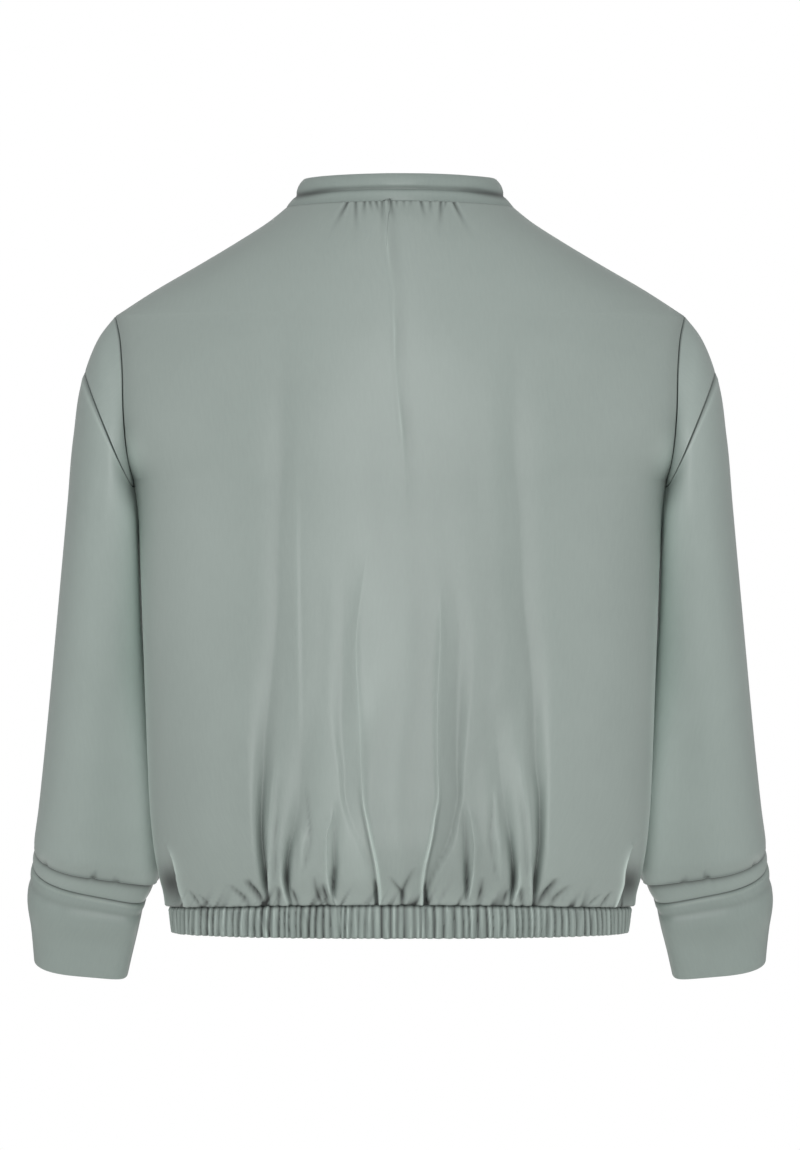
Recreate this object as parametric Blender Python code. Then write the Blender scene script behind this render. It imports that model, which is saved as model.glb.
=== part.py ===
"""Satin bomber jacket, filled out with no wearer, in metres and +Z up.

The back faces -Y, the closed front zip +Y, and +X is the wearer's right. The origin is the middle of the
neck opening, at the height of the collar's foot. Every cloth piece is a wall between a grid of points and
the same points moved in along their normals, and the pieces of one tube share those normals, so they stay
SEAM_GAP apart through their whole thickness.
"""
import math
from collections import namedtuple

import bmesh
import bpy
import numpy as np

# Driving sizes
CLOTH = 0.0015
DOUBLE_CLOTH = 0.0026
TAPE_CLOTH = 0.0008
SEAM_GAP = 0.0003
ARMHOLE_EASE = 0.0004
BACK_COLUMNS = 30
FRONT_COLUMNS = 9
ARMHOLE_STEPS = 10

# Rows round the collar, the body and the hem band, from the collar's top edge down. z is at the sides,
# back_rise and front_drop carry the row to its middle back and middle front. squareness 2 is an ellipse.
BodyRow = namedtuple("BodyRow", "z half_width side_y back_y front_y back_rise front_drop squareness")
COLLAR_ROWS = (
    BodyRow(0.0245, 0.0870, 0.000, -0.0680, 0.0600, 0.0015, 0.0395, 2.0),
    BodyRow(0.0200, 0.0895, 0.000, -0.0702, 0.0622, 0.0015, 0.0400, 2.0),
    BodyRow(0.0090, 0.0945, 0.000, -0.0735, 0.0671, 0.0020, 0.0400, 2.0),
)
SHOULDER_ROWS = (
    BodyRow(0.0000, 0.1020, 0.000, -0.0760, 0.0720, 0.0020, 0.0420, 2.0),
    BodyRow(-0.0120, 0.1168, 0.000, -0.0880, 0.0775, 0.0010, 0.0400, 2.0),
    BodyRow(-0.0300, 0.1445, 0.000, -0.0995, 0.0835, 0.0000, 0.0360, 1.95),
    BodyRow(-0.0530, 0.1828, 0.000, -0.1095, 0.0890, 0.0000, 0.0300, 1.85),
    BodyRow(-0.0750, 0.2205, 0.000, -0.1165, 0.0940, 0.0000, 0.0230, 1.75),
    BodyRow(-0.0980, 0.2560, 0.000, -0.1215, 0.0990, 0.0000, 0.0160, 1.70),
)
CHEST_ROWS = (
    BodyRow(-0.1250, 0.2560, -0.004, -0.1255, 0.1045, 0.0000, 0.0110, 1.90),
    BodyRow(-0.1700, 0.2560, -0.012, -0.1295, 0.1120, 0.0000, 0.0050, 2.12),
)
SIDE_ROWS = (
    BodyRow(-0.2460, 0.2385, -0.030, -0.1350, 0.1240, 0.0000, 0.0000, 2.3),
    BodyRow(-0.2710, 0.2348, -0.034, -0.1380, 0.1280, 0.0000, 0.0000, 2.3),
    BodyRow(-0.3200, 0.2322, -0.038, -0.1425, 0.1340, 0.0000, 0.0000, 2.3),
    BodyRow(-0.3800, 0.2298, -0.040, -0.1465, 0.1390, 0.0000, 0.0000, 2.3),
    BodyRow(-0.4400, 0.2275, -0.042, -0.1490, 0.1420, 0.0000, 0.0000, 2.3),
    BodyRow(-0.5000, 0.2253, -0.042, -0.1510, 0.1430, 0.0000, 0.0000, 2.3),
    BodyRow(-0.5450, 0.2230, -0.041, -0.1510, 0.1420, 0.0010, -0.0010, 2.3),
    BodyRow(-0.5800, 0.2192, -0.038, -0.1490, 0.1380, 0.0030, -0.0030, 2.3),
    BodyRow(-0.6050, 0.2145, -0.031, -0.1420, 0.1300, 0.0050, -0.0050, 2.3),
    BodyRow(-0.6275, 0.2076, -0.024, -0.1280, 0.1180, 0.0060, -0.0060, 2.3),
)
BAND_ROWS = (
    BodyRow(-0.6400, 0.2055, -0.023, -0.1270, 0.1168, 0.0030, -0.0030, 2.3),
    BodyRow(-0.6500, 0.2032, -0.022, -0.1240, 0.1140, 0.0000, 0.0000, 2.3),
)

# The armhole seam: how far out it lies at a height, how far it swings back and forward half way down, and
# how pointed its two ends are (1 is round)
ArmholePoint = namedtuple("ArmholePoint", "z x")
ARMHOLE = (
    ArmholePoint(-0.0980, 0.2560),
    ArmholePoint(-0.1180, 0.2508),
    ArmholePoint(-0.1400, 0.2482),
    ArmholePoint(-0.1900, 0.2460),
    ArmholePoint(-0.2180, 0.2438),
    ArmholePoint(-0.2310, 0.2420),
    ArmholePoint(-0.2460, 0.2385),
)
ARMHOLE_BACK = 0.055
ARMHOLE_FRONT = 0.047
ARMHOLE_POINT = 1.25

# Rings round the right sleeve. Each spans an outer and an inner point and swells half_depth back and
# forward of them. tilt lowers its back and lifts its front, a height for each metre of depth.
SleeveRing = namedtuple("SleeveRing", "outer inner half_depth tilt")
HEAD_MIDDLE = SleeveRing((0.2712, 0.001, -0.1200), (0.2391, -0.029, -0.2492), 0.0585, 0.08)
SLEEVE_RINGS = (
    SleeveRing((0.2833, 0.002, -0.1478), (0.2388, -0.028, -0.2530), 0.0620, 0.13),
    SleeveRing((0.2938, 0.005, -0.2050), (0.2362, -0.020, -0.2690), 0.0680, 0.14),
    SleeveRing((0.2993, 0.010, -0.2640), (0.2347, -0.008, -0.2910), 0.0730, 0.15),
    SleeveRing((0.3065, 0.024, -0.3350), (0.2322, 0.012, -0.3450), 0.0750, 0.17),
    SleeveRing((0.3128, 0.038, -0.3950), (0.2280, 0.030, -0.4050), 0.0745, 0.19),
    SleeveRing((0.3182, 0.050, -0.4460), (0.2235, 0.045, -0.4560), 0.0730, 0.21),
    SleeveRing((0.3242, 0.062, -0.5000), (0.2185, 0.058, -0.5120), 0.0700, 0.22),
    SleeveRing((0.3297, 0.073, -0.5450), (0.2165, 0.069, -0.5620), 0.0670, 0.22),
    SleeveRing((0.3335, 0.082, -0.5750), (0.2175, 0.080, -0.5930), 0.0635, 0.22),
    SleeveRing((0.3341, 0.088, -0.5855), (0.2205, 0.088, -0.6085), 0.0600, 0.22),
    SleeveRing((0.3336, 0.089, -0.5895), (0.2245, 0.089, -0.6075), 0.0540, 0.22),
    SleeveRing((0.3355, 0.094, -0.6025), (0.2310, 0.094, -0.6230), 0.0500, 0.22),
)
CUFF_RINGS = (
    SleeveRing((0.3409, 0.099, -0.6250), (0.2365, 0.097, -0.6375), 0.0500, 0.23),
    SleeveRing((0.3378, 0.105, -0.6520), (0.2415, 0.103, -0.6590), 0.0460, 0.24),
    SleeveRing((0.3357, 0.111, -0.6820), (0.2485, 0.109, -0.6895), 0.0430, 0.24),
)
SLEEVE_SQUARENESS = 2.15

# The largest folds, as troughs that run up from the hem seam: where they lie at the hem, at their deepest
# and at their top. The other half of the jacket has the same ones mirrored.
Fold = namedtuple("Fold", "hem_x deep_x top_x deep_z top_z half_width depth")
BACK_FOLDS = (
    Fold(0.116, 0.124, 0.106, -0.575, -0.280, 0.022, 0.0080),
    Fold(0.058, 0.055, 0.050, -0.590, -0.400, 0.016, 0.0045),
    Fold(0.200, 0.199, 0.205, -0.585, -0.520, 0.014, 0.0045),
)
FRONT_FOLDS = (
    Fold(0.105, 0.112, 0.100, -0.575, -0.330, 0.024, 0.0070),
    Fold(0.052, 0.054, 0.058, -0.585, -0.460, 0.018, 0.0045),
)
FOLD_END = 0.012

# The zip, closed to the collar's top edge, with its slider and pull tab
CHAIN_HALF_WIDTH = 0.0028
CHAIN_THICKNESS = 0.0024
EDGE_X = 0.0033
TAPE_OUTER_X = 0.0160
TAPE_DEPTH = DOUBLE_CLOTH + SEAM_GAP
CHAIN_DEPTH = TAPE_DEPTH + TAPE_CLOTH / 2 - CHAIN_THICKNESS / 2
BOX_HEIGHT = 0.009
BOX_HALF_WIDTH = 0.0030
SLIDER_HEIGHT = 0.0110
SLIDER_TOP_MARGIN = 0.0006
SLIDER_PLATE = 0.0013
SLIDER_HALF_WIDTH = 0.0041
SLIDER_CORE_HALF_WIDTH = 0.0026
BRIDGE_HALF_WIDTH = 0.0009
BRIDGE_HALF_LENGTH = 0.0032
BRIDGE_HEIGHT = 0.0034
BRIDGE_METAL = 0.0010
PULL_THICKNESS = 0.0012
PULL_BAR = 0.0006
PULL_WINDOW_HALF_WIDTH = 0.0014
PULL_WINDOW_END = 0.0058
PULL_NECK_HALF_WIDTH = 0.0027
PULL_HALF_WIDTH = 0.0033
PULL_LENGTH = 0.0260
PULL_STANDOFF = 0.0011

SATIN = (0.316, 0.367, 0.332)
SATIN_SLEEVE = (0.289, 0.341, 0.308)
SATIN_BAND = (0.255, 0.304, 0.275)
TAPE_COLOUR = (0.235, 0.280, 0.252)
METAL = (0.42, 0.43, 0.42)


def unit(vectors):
    return vectors / np.linalg.norm(vectors, axis=-1, keepdims=True)


def through(knots, values, at):
    """A smooth curve through the knots, with each knot's slope taken from its neighbours."""
    knots = np.asarray(knots, float)
    values = np.asarray(values, float)
    order = np.argsort(knots)
    knots = knots[order]
    values = values[order]
    slopes = np.gradient(values, knots)
    first = np.clip(np.searchsorted(knots, at) - 1, 0, len(knots) - 2)
    step = knots[first + 1] - knots[first]
    t = (at - knots[first]) / step
    start = values[first] * (1 + 2 * t) * (1 - t) ** 2 + slopes[first] * step * t * (1 - t) ** 2
    end = values[first + 1] * t * t * (3 - 2 * t) + slopes[first + 1] * step * t * t * (t - 1)
    return start + end


def grid_normals(grid, closed=False):
    """Outward unit normals. Rows run down or outwards, columns from +X by way of the back to -X."""
    if closed:
        across = np.roll(grid, -1, axis=1) - np.roll(grid, 1, axis=1)
    else:
        across = np.gradient(grid, axis=1)
    down = np.gradient(grid, axis=0)
    return unit(np.cross(across, down))


def mirrored(grid):
    """The same grid on the other side of the jacket, its columns turned round to run the same way."""
    return grid[:, ::-1] * np.array((-1.0, 1.0, 1.0))


def set_back(grid, row_ends=True, column_ends=True):
    """The grid with its edges drawn back by half a seam gap, each towards its neighbouring line."""
    moved = grid.copy()
    if row_ends:
        moved[0] += unit(grid[1] - grid[0]) * SEAM_GAP / 2
        moved[-1] += unit(grid[-2] - grid[-1]) * SEAM_GAP / 2
    if column_ends:
        moved[:, 0] += unit(grid[:, 1] - grid[:, 0]) * SEAM_GAP / 2
        moved[:, -1] += unit(grid[:, -2] - grid[:, -1]) * SEAM_GAP / 2
    return moved


def body_table():
    """Every body row, with the armhole's stretch divided at the heights of the sleeve's ring of points."""
    top = ARMHOLE[0].z
    bottom = ARMHOLE[-1].z
    turn = np.linspace(0, math.pi, ARMHOLE_STEPS + 1)
    heights = (top + bottom) / 2 + (top - bottom) / 2 * np.cos(turn)
    known = SHOULDER_ROWS + CHEST_ROWS + SIDE_ROWS
    known_z = [row.z for row in known]
    columns = [through(known_z, [getattr(row, field) for row in known], heights) for field in BodyRow._fields]
    armhole = [BodyRow(*values) for values in zip(*columns)]
    armhole[0] = SHOULDER_ROWS[-1]
    armhole[-1] = SIDE_ROWS[0]
    rows = COLLAR_ROWS + SHOULDER_ROWS[:-1] + tuple(armhole) + SIDE_ROWS[1:] + BAND_ROWS
    return np.array(rows)


def body_half(table, facing):
    """One half of every row: facing -1 is the back, side to side; +1 the front, from the zip to the side."""
    z, half_width, side_y, back_y, front_y, back_rise, front_drop, squareness = table.T
    if facing < 0:
        depth = side_y - back_y
        lift = back_rise
        swing = ARMHOLE_BACK
    else:
        depth = front_y - side_y
        lift = -front_drop
        swing = ARMHOLE_FRONT
    edge_x = half_width.copy()
    edge_depth = np.zeros_like(z)
    rows = slice(ARMHOLE_FIRST, ARMHOLE_FIRST + ARMHOLE_STEPS + 1)
    edge_x[rows] = through([point.z for point in ARMHOLE], [point.x for point in ARMHOLE], z[rows])
    turn = np.linspace(0, math.pi, ARMHOLE_STEPS + 1)
    edge_depth[rows] = swing * np.clip(np.sin(turn), 0, 1) ** ARMHOLE_POINT
    full_width = edge_x / (1 - (edge_depth / depth) ** squareness) ** (1 / squareness)
    edge_angle = np.arccos(np.clip((edge_x / full_width) ** (squareness / 2), -1, 1))
    if facing < 0:
        start = edge_angle
        end = math.pi - edge_angle
        share = np.linspace(0, 1, BACK_COLUMNS + 1)
    else:
        start = np.arccos((EDGE_X / full_width) ** (squareness / 2))
        end = edge_angle
        share = np.linspace(0, 1, FRONT_COLUMNS + 1)
    angle = start[:, None] + (end - start)[:, None] * share
    power = 2 / squareness[:, None]
    x = full_width[:, None] * np.sign(np.cos(angle)) * np.abs(np.cos(angle)) ** power
    y = side_y[:, None] + facing * depth[:, None] * np.abs(np.sin(angle)) ** power
    height = z[:, None] + lift[:, None] * np.sin(angle) ** 2
    return np.stack((x, y, height), axis=-1)


def fold_depth(folds, x, z):
    """How far in the folds take a point: a rounded trough that fades upwards and at the hem seam."""
    hem_z = SIDE_ROWS[-1].z
    total = np.zeros_like(x)
    for fold in folds:
        line = through((hem_z, fold.deep_z, fold.top_z), (fold.hem_x, fold.deep_x, fold.top_x), z)
        away = np.clip((np.abs(x) - line) / fold.half_width, -1, 1)
        rise = np.clip((fold.top_z - z) / (fold.top_z - fold.deep_z), 0, 1)
        fall = np.clip((z - hem_z - FOLD_END / 4) / FOLD_END, 0, 1)
        total += fold.depth * (0.5 + 0.5 * np.cos(math.pi * away)) * rise ** 2 * fall
    return total


def folded(grid, folds):
    """The grid with its folds pressed in, between the neck seam and the hem seam."""
    body = slice(NECK_ROW, HEM_ROW + 1)
    moved = grid.copy()
    depth = fold_depth(folds, grid[body, :, 0], grid[body, :, 2])
    moved[body] -= depth[..., None] * grid_normals(grid)[body]
    return moved


def sleeve_ring(ring):
    """A ring of points round the sleeve, from its outer point by way of the back."""
    turn = np.arange(2 * ARMHOLE_STEPS) * math.pi / ARMHOLE_STEPS
    power = 2 / SLEEVE_SQUARENESS
    out = np.sign(np.cos(turn)) * np.abs(np.cos(turn)) ** power
    back = np.sign(np.sin(turn)) * np.abs(np.sin(turn)) ** power
    outer = np.array(ring.outer)
    inner = np.array(ring.inner)
    points = (outer + inner) / 2 + out[:, None] * (outer - inner) / 2
    swell = -back * ring.half_depth
    points[:, 1] += swell
    points[:, 2] += swell * ring.tilt
    return points


def new_material(name, colour, roughness, metallic=0.0):
    material = bpy.data.materials.new(name)
    material.use_nodes = True
    shader = material.node_tree.nodes["Principled BSDF"]
    shader.inputs["Base Color"].default_value = (*colour, 1.0)
    shader.inputs["Roughness"].default_value = roughness
    shader.inputs["Metallic"].default_value = metallic
    return material


def add_object(name, mesh, collection, material):
    piece = bpy.data.objects.new(name, mesh)
    mesh.materials.clear()
    mesh.materials.append(material)
    collection.objects.link(piece)
    return piece


def split(points, corners):
    """The two triangles of a four-cornered face, parted along its shorter diagonal."""
    first, second, third, fourth = corners
    if np.linalg.norm(points[first] - points[third]) <= np.linalg.norm(points[second] - points[fourth]):
        return [(first, second, third), (first, third, fourth)]
    return [(first, second, fourth), (second, third, fourth)]


def cloth_piece(name, grid, normals, thickness, collection, colour, closed=False):
    """A wall of cloth: the grid outside, the same points moved in along their normals, and its edges."""
    rows, columns = grid.shape[:2]
    points = np.concatenate((grid.reshape(-1, 3), (grid - thickness * normals).reshape(-1, 3)))
    inside = rows * columns
    strips = columns if closed else columns - 1
    faces = []
    for row in range(rows - 1):
        for column in range(strips):
            beside = (column + 1) % columns
            corners = (row * columns + column, row * columns + beside,
                       (row + 1) * columns + beside, (row + 1) * columns + column)
            outer = split(points, corners)
            faces += outer
            faces += [tuple(corner + inside for corner in reversed(face)) for face in outer]
    last = (rows - 1) * columns
    for column in range(strips):
        beside = (column + 1) % columns
        faces += split(points, (beside, column, column + inside, beside + inside))
        faces += split(points, (last + column, last + beside, last + beside + inside, last + column + inside))
    if not closed:
        for row in range(rows - 1):
            upper = row * columns
            lower = upper + columns
            faces += split(points, (upper, lower, lower + inside, upper + inside))
            upper += columns - 1
            lower += columns - 1
            faces += split(points, (lower, upper, upper + inside, lower + inside))
    mesh = bpy.data.meshes.new(name)
    mesh.from_pydata(points.tolist(), [], faces)
    mesh.shade_smooth()
    return add_object(name, mesh, collection, new_material(name + "_satin", colour, 0.42))


def along(profile, distances):
    """Points at the given distances along a line of points."""
    steps = np.linalg.norm(np.diff(profile, axis=0), axis=1)
    travelled = np.concatenate(((0.0,), np.cumsum(steps)))
    return np.stack([np.interp(distances, travelled, profile[:, axis]) for axis in range(3)], axis=-1)


def build_torso(collection):
    """The back, the two fronts, the collar and the hem band, and the armhole seam with its normals."""
    table = body_table()
    back = folded(body_half(table, -1), BACK_FOLDS)
    front = folded(body_half(table, 1), FRONT_FOLDS)
    back_normals = grid_normals(back)
    front_normals = grid_normals(front)
    front_normals[:, 0] = unit(front_normals[:, 0] * np.array((0.0, 1.0, 1.0)))

    armhole_end = ARMHOLE_FIRST + ARMHOLE_STEPS
    open_rows = np.ones(len(table), bool)
    open_rows[ARMHOLE_FIRST + 1:armhole_end] = False
    side = unit(back_normals[open_rows, 0] + front_normals[open_rows, -1])
    back_normals[open_rows, 0] = side
    front_normals[open_rows, -1] = side

    rows = slice(ARMHOLE_FIRST, armhole_end + 1)
    backward = slice(armhole_end - 1, ARMHOLE_FIRST, -1)
    loop = np.concatenate((back[rows, 0], front[backward, -1]))
    loop_normals = np.concatenate((back_normals[rows, 0], front_normals[backward, -1]))
    sleeve, sleeve_normals = build_sleeve_grid(loop, loop_normals)
    shared = sleeve_normals[0]
    back_normals[rows, 0] = shared[:ARMHOLE_STEPS + 1]
    front_normals[backward, -1] = shared[ARMHOLE_STEPS + 1:]
    front_normals[ARMHOLE_FIRST, -1] = shared[0]
    front_normals[armhole_end, -1] = shared[ARMHOLE_STEPS]
    back_normals[:, -1] = back_normals[:, 0] * np.array((-1.0, 1.0, 1.0))

    body = slice(NECK_ROW, HEM_ROW + 1)
    panels = (
        ("back", back[body], back_normals[body]),
        ("front_right", front[body], front_normals[body]),
        ("front_left", mirrored(front[body]), mirrored(front_normals[body])),
    )
    for name, grid, normals in panels:
        cloth_piece(name, set_back(grid), normals, CLOTH, collection, SATIN)

    around = np.concatenate((front[:, :-1], back, mirrored(front)[:, 1:]), axis=1)
    around_normals = np.concatenate((front_normals[:, :-1], back_normals, mirrored(front_normals)[:, 1:]), axis=1)
    bands = (("collar", slice(0, NECK_ROW + 1)), ("hem_band", slice(HEM_ROW, len(table))))
    for name, band in bands:
        grid = set_back(around[band], column_ends=False)
        cloth_piece(name, grid, around_normals[band], DOUBLE_CLOTH, collection, SATIN_BAND)
    return front, front_normals, sleeve, sleeve_normals


def build_sleeve_grid(loop, loop_normals):
    """The right sleeve from the armhole seam to the cuff's edge, as one grid of rings with its normals.

    Its first ring is eased off the body, because under the arm the two walls lie side by side.
    """
    rings = [loop, sleeve_ring(HEAD_MIDDLE)] + [sleeve_ring(ring) for ring in SLEEVE_RINGS + CUFF_RINGS]
    grid = np.stack(rings)
    normals = grid_normals(grid, closed=True)
    normals[0] = unit(normals[0] + loop_normals)
    grid[0] += unit(loop_normals + unit(grid[1] - grid[0])) * ARMHOLE_EASE
    return grid, normals


def build_sleeves(collection, grid, normals):
    """The shoulder insets, the sleeves and the cuffs, each a stretch of the sleeve's rings."""
    pieces = (
        ("sleeve_head", slice(0, 3), CLOTH, SATIN_SLEEVE),
        ("sleeve", slice(2, CUFF_RING + 1), CLOTH, SATIN_SLEEVE),
        ("cuff", slice(CUFF_RING, len(grid)), DOUBLE_CLOTH, SATIN_BAND),
    )
    for name, rings, thickness, colour in pieces:
        piece = set_back(grid[rings], column_ends=False)
        cloth_piece(name + "_right", piece, normals[rings], thickness, collection, colour, closed=True)
        cloth_piece(name + "_left", mirrored(piece), mirrored(normals[rings]), thickness, collection, colour,
                    closed=True)


def build_zip_cloth(collection, front, normals):
    """The two tapes behind the front edges, and the chain and its box between them."""
    edge = front[:, 0]
    share = (TAPE_OUTER_X - EDGE_X) / (front[:, 1, 0] - EDGE_X)
    outer = edge + (front[:, 1] - edge) * share[:, None]
    inward = normals[:, :1] * TAPE_DEPTH
    tape = np.stack((edge, outer), axis=1) - inward
    tape_normals = np.repeat(normals[:, :1], 2, axis=1)
    cloth_piece("zip_tape_right", tape, tape_normals, TAPE_CLOTH, collection, TAPE_COLOUR)
    cloth_piece("zip_tape_left", mirrored(tape), mirrored(tape_normals), TAPE_CLOTH, collection, TAPE_COLOUR)

    middle = edge * np.array((0.0, 1.0, 1.0))
    line = middle - normals[:, 0] * CHAIN_DEPTH
    steps = np.linalg.norm(np.diff(line, axis=0), axis=1)
    travelled = np.concatenate(((0.0,), np.cumsum(steps)))
    length = travelled[-1]
    chain_start = SLIDER_TOP_MARGIN + SLIDER_HEIGHT + SEAM_GAP
    chain_end = length - BOX_HEIGHT - SEAM_GAP
    inside = travelled[(travelled > chain_start + 0.001) & (travelled < chain_end - 0.001)]
    stretches = (
        ("zip_chain", np.concatenate(((chain_start,), inside, (chain_end,))), CHAIN_HALF_WIDTH),
        ("zip_box", np.array((length - BOX_HEIGHT, length)), BOX_HALF_WIDTH),
    )
    for name, distances, half_width in stretches:
        points = along(line, distances)
        side = np.array((half_width, 0.0, 0.0))
        grid = np.stack((points - side, points + side), axis=1)
        cloth_piece(name, grid, grid_normals(grid), CHAIN_THICKNESS, collection, METAL)


def add_block(name, half_width, y_range, z_range, collection):
    """A box from -half_width to half_width, used as a lump to be joined to another."""
    bpy.ops.mesh.primitive_cube_add(size=1)
    block = bpy.context.active_object
    block.name = name
    size = (2 * half_width, y_range[1] - y_range[0], z_range[1] - z_range[0])
    centre = (0, sum(y_range) / 2, sum(z_range) / 2)
    for vertex in block.data.vertices:
        vertex.co = [centre[axis] + vertex.co[axis] * size[axis] for axis in range(3)]
    for owner in block.users_collection:
        owner.objects.unlink(block)
    collection.objects.link(block)
    return block


def add_outline(name, loops, half_thickness):
    """A flat plate from closed outlines, the later ones holes in the first."""
    curve = bpy.data.curves.new(name, "CURVE")
    curve.dimensions = "2D"
    curve.fill_mode = "BOTH"
    curve.extrude = half_thickness
    for loop in loops:
        spline = curve.splines.new("POLY")
        spline.points.add(len(loop) - 1)
        for point, (across, up) in zip(spline.points, loop):
            point.co = (across, up, 0, 1)
        spline.use_cyclic_u = True
    holder = bpy.data.objects.new(name + "_outline", curve)
    bpy.context.scene.collection.objects.link(holder)
    bpy.context.view_layer.update()
    evaluated = holder.evaluated_get(bpy.context.evaluated_depsgraph_get())
    mesh = bpy.data.meshes.new_from_object(evaluated)
    mesh.name = name
    bpy.data.objects.remove(holder)
    bm = bmesh.new()
    bm.from_mesh(mesh)
    bmesh.ops.remove_doubles(bm, verts=bm.verts[:], dist=1e-6)
    bmesh.ops.recalc_face_normals(bm, faces=bm.faces[:])
    bm.to_mesh(mesh)
    bm.free()
    return mesh


def join_lumps(base, lumps):
    """Lumps become part of the base, each by its own Boolean union."""
    for lump in lumps:
        union = base.modifiers.new(lump.name, "BOOLEAN")
        union.operation = "UNION"
        union.object = lump
        lump.hide_render = True
        lump.display_type = "WIRE"


def build_slider(collection, cutters, front, normals):
    """The slider at the top of the chain and the pull tab that hangs on its bridge."""
    edge = front[:, 0] * np.array((0.0, 1.0, 1.0))
    middle = along(edge, np.array((SLIDER_TOP_MARGIN + SLIDER_HEIGHT / 2,)))[0]
    run = edge[1] - edge[0]
    lean = math.atan2(run[1], -run[2])
    half_height = SLIDER_HEIGHT / 2
    plate_back = SEAM_GAP
    plate_front = plate_back + SLIDER_PLATE
    rear_front = -(TAPE_DEPTH + TAPE_CLOTH + SEAM_GAP)
    rear_back = rear_front - SLIDER_PLATE
    reach = (-half_height, half_height)
    slider = add_block("zip_slider", SLIDER_HALF_WIDTH, (plate_back, plate_front), reach, collection)
    rear = add_block("slider_rear", SLIDER_HALF_WIDTH, (rear_back, rear_front), reach, cutters)
    overlap = SLIDER_PLATE / 2
    core_reach = (rear_front - overlap, plate_back + overlap)
    core = add_block("slider_core", SLIDER_CORE_HALF_WIDTH, core_reach, (-half_height + 0.0004, half_height - 0.0004),
                     cutters)

    arc = [math.pi * step / 12 for step in range(13)]
    foot = plate_front - overlap
    outside = [(plate_front + BRIDGE_HEIGHT * math.sin(a), BRIDGE_HALF_LENGTH * math.cos(a)) for a in arc]
    inner_height = BRIDGE_HEIGHT - BRIDGE_METAL
    inner_length = BRIDGE_HALF_LENGTH - BRIDGE_METAL
    inside = [(plate_front + inner_height * math.sin(a), inner_length * math.cos(a)) for a in reversed(arc)]
    loop = [(foot, BRIDGE_HALF_LENGTH)] + outside + [(foot, -BRIDGE_HALF_LENGTH), (foot, -inner_length)]
    loop += inside + [(foot, inner_length)]
    bridge_mesh = add_outline("slider_bridge", [loop], BRIDGE_HALF_WIDTH)
    bridge = bpy.data.objects.new("slider_bridge", bridge_mesh)
    cutters.objects.link(bridge)
    for vertex in bridge_mesh.vertices:
        outward, up, across = vertex.co
        vertex.co = (across, outward, up)
    join_lumps(slider, (rear, core, bridge))
    slider.data.materials.append(new_material("zip_slider_metal", METAL, 0.35, 1.0))

    rounding = [math.pi * step / 10 for step in range(11)]
    end = -PULL_LENGTH + PULL_HALF_WIDTH
    shoulder = -PULL_WINDOW_END - 0.004
    outline = [(PULL_NECK_HALF_WIDTH, PULL_BAR), (-PULL_NECK_HALF_WIDTH, PULL_BAR),
               (-PULL_NECK_HALF_WIDTH, -PULL_WINDOW_END), (-PULL_HALF_WIDTH, shoulder)]
    outline += [(-PULL_HALF_WIDTH * math.cos(a), end - PULL_HALF_WIDTH * math.sin(a)) for a in rounding]
    outline += [(PULL_HALF_WIDTH, shoulder), (PULL_NECK_HALF_WIDTH, -PULL_WINDOW_END)]
    window = [(PULL_WINDOW_HALF_WIDTH, -PULL_BAR), (PULL_WINDOW_HALF_WIDTH, -PULL_WINDOW_END),
              (-PULL_WINDOW_HALF_WIDTH, -PULL_WINDOW_END), (-PULL_WINDOW_HALF_WIDTH, -PULL_BAR)]
    pull_mesh = add_outline("zip_pull", [outline, window], PULL_THICKNESS / 2)
    for vertex in pull_mesh.vertices:
        across, up, outward = vertex.co
        vertex.co = (across, -outward, up)
    pull = add_object("zip_pull", pull_mesh, collection, new_material("zip_pull_metal", METAL, 0.35, 1.0))
    outward = np.array((0.0, math.cos(lean), math.sin(lean)))
    pull.location = middle + outward * (plate_front + PULL_STANDOFF)
    pull.rotation_euler.x = lean
    for piece in (slider, rear, core, bridge):
        piece.location = middle
        piece.rotation_euler.x = lean


NECK_ROW = len(COLLAR_ROWS)
ARMHOLE_FIRST = NECK_ROW + len(SHOULDER_ROWS) - 1
HEM_ROW = ARMHOLE_FIRST + ARMHOLE_STEPS + len(SIDE_ROWS) - 1
CUFF_RING = 1 + len(SLEEVE_RINGS)


def main():
    for stale in list(bpy.data.objects):
        bpy.data.objects.remove(stale)
    jacket = bpy.data.collections.new("satin_bomber_jacket")
    cutters = bpy.data.collections.new("cutters")
    for collection in (jacket, cutters):
        bpy.context.scene.collection.children.link(collection)
    front, front_normals, sleeve, sleeve_normals = build_torso(jacket)
    build_sleeves(jacket, sleeve, sleeve_normals)
    build_zip_cloth(jacket, front, front_normals)
    build_slider(jacket, cutters, front, front_normals)


main()
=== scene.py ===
import math

import bpy
import numpy as np
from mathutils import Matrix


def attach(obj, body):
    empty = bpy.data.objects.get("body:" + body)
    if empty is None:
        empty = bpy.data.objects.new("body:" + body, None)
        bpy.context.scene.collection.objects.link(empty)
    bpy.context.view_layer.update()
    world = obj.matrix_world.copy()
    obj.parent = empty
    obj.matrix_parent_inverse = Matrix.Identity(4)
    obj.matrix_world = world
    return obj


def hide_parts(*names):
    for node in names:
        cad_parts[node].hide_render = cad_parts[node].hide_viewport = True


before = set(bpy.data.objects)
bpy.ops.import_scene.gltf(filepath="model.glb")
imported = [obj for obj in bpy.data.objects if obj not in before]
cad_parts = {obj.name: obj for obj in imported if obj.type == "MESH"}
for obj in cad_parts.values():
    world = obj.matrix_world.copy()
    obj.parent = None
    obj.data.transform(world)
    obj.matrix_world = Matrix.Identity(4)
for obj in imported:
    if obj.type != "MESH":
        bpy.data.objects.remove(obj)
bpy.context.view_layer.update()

# Satin bomber jacket, filled out with no wearer. Back towards -Y, closed zip towards +Y, metres.
# The body, sleeve and band forms repeat the CAD's own rows and rings on much finer grids, and the folds,
# gathers and rolled seam edges are added to them here.

mm = 0.001


# Vectors divided by their own length.
def unit(vectors):
    return vectors / np.maximum(np.linalg.norm(vectors, axis=-1, keepdims=True), 1e-12)


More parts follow.
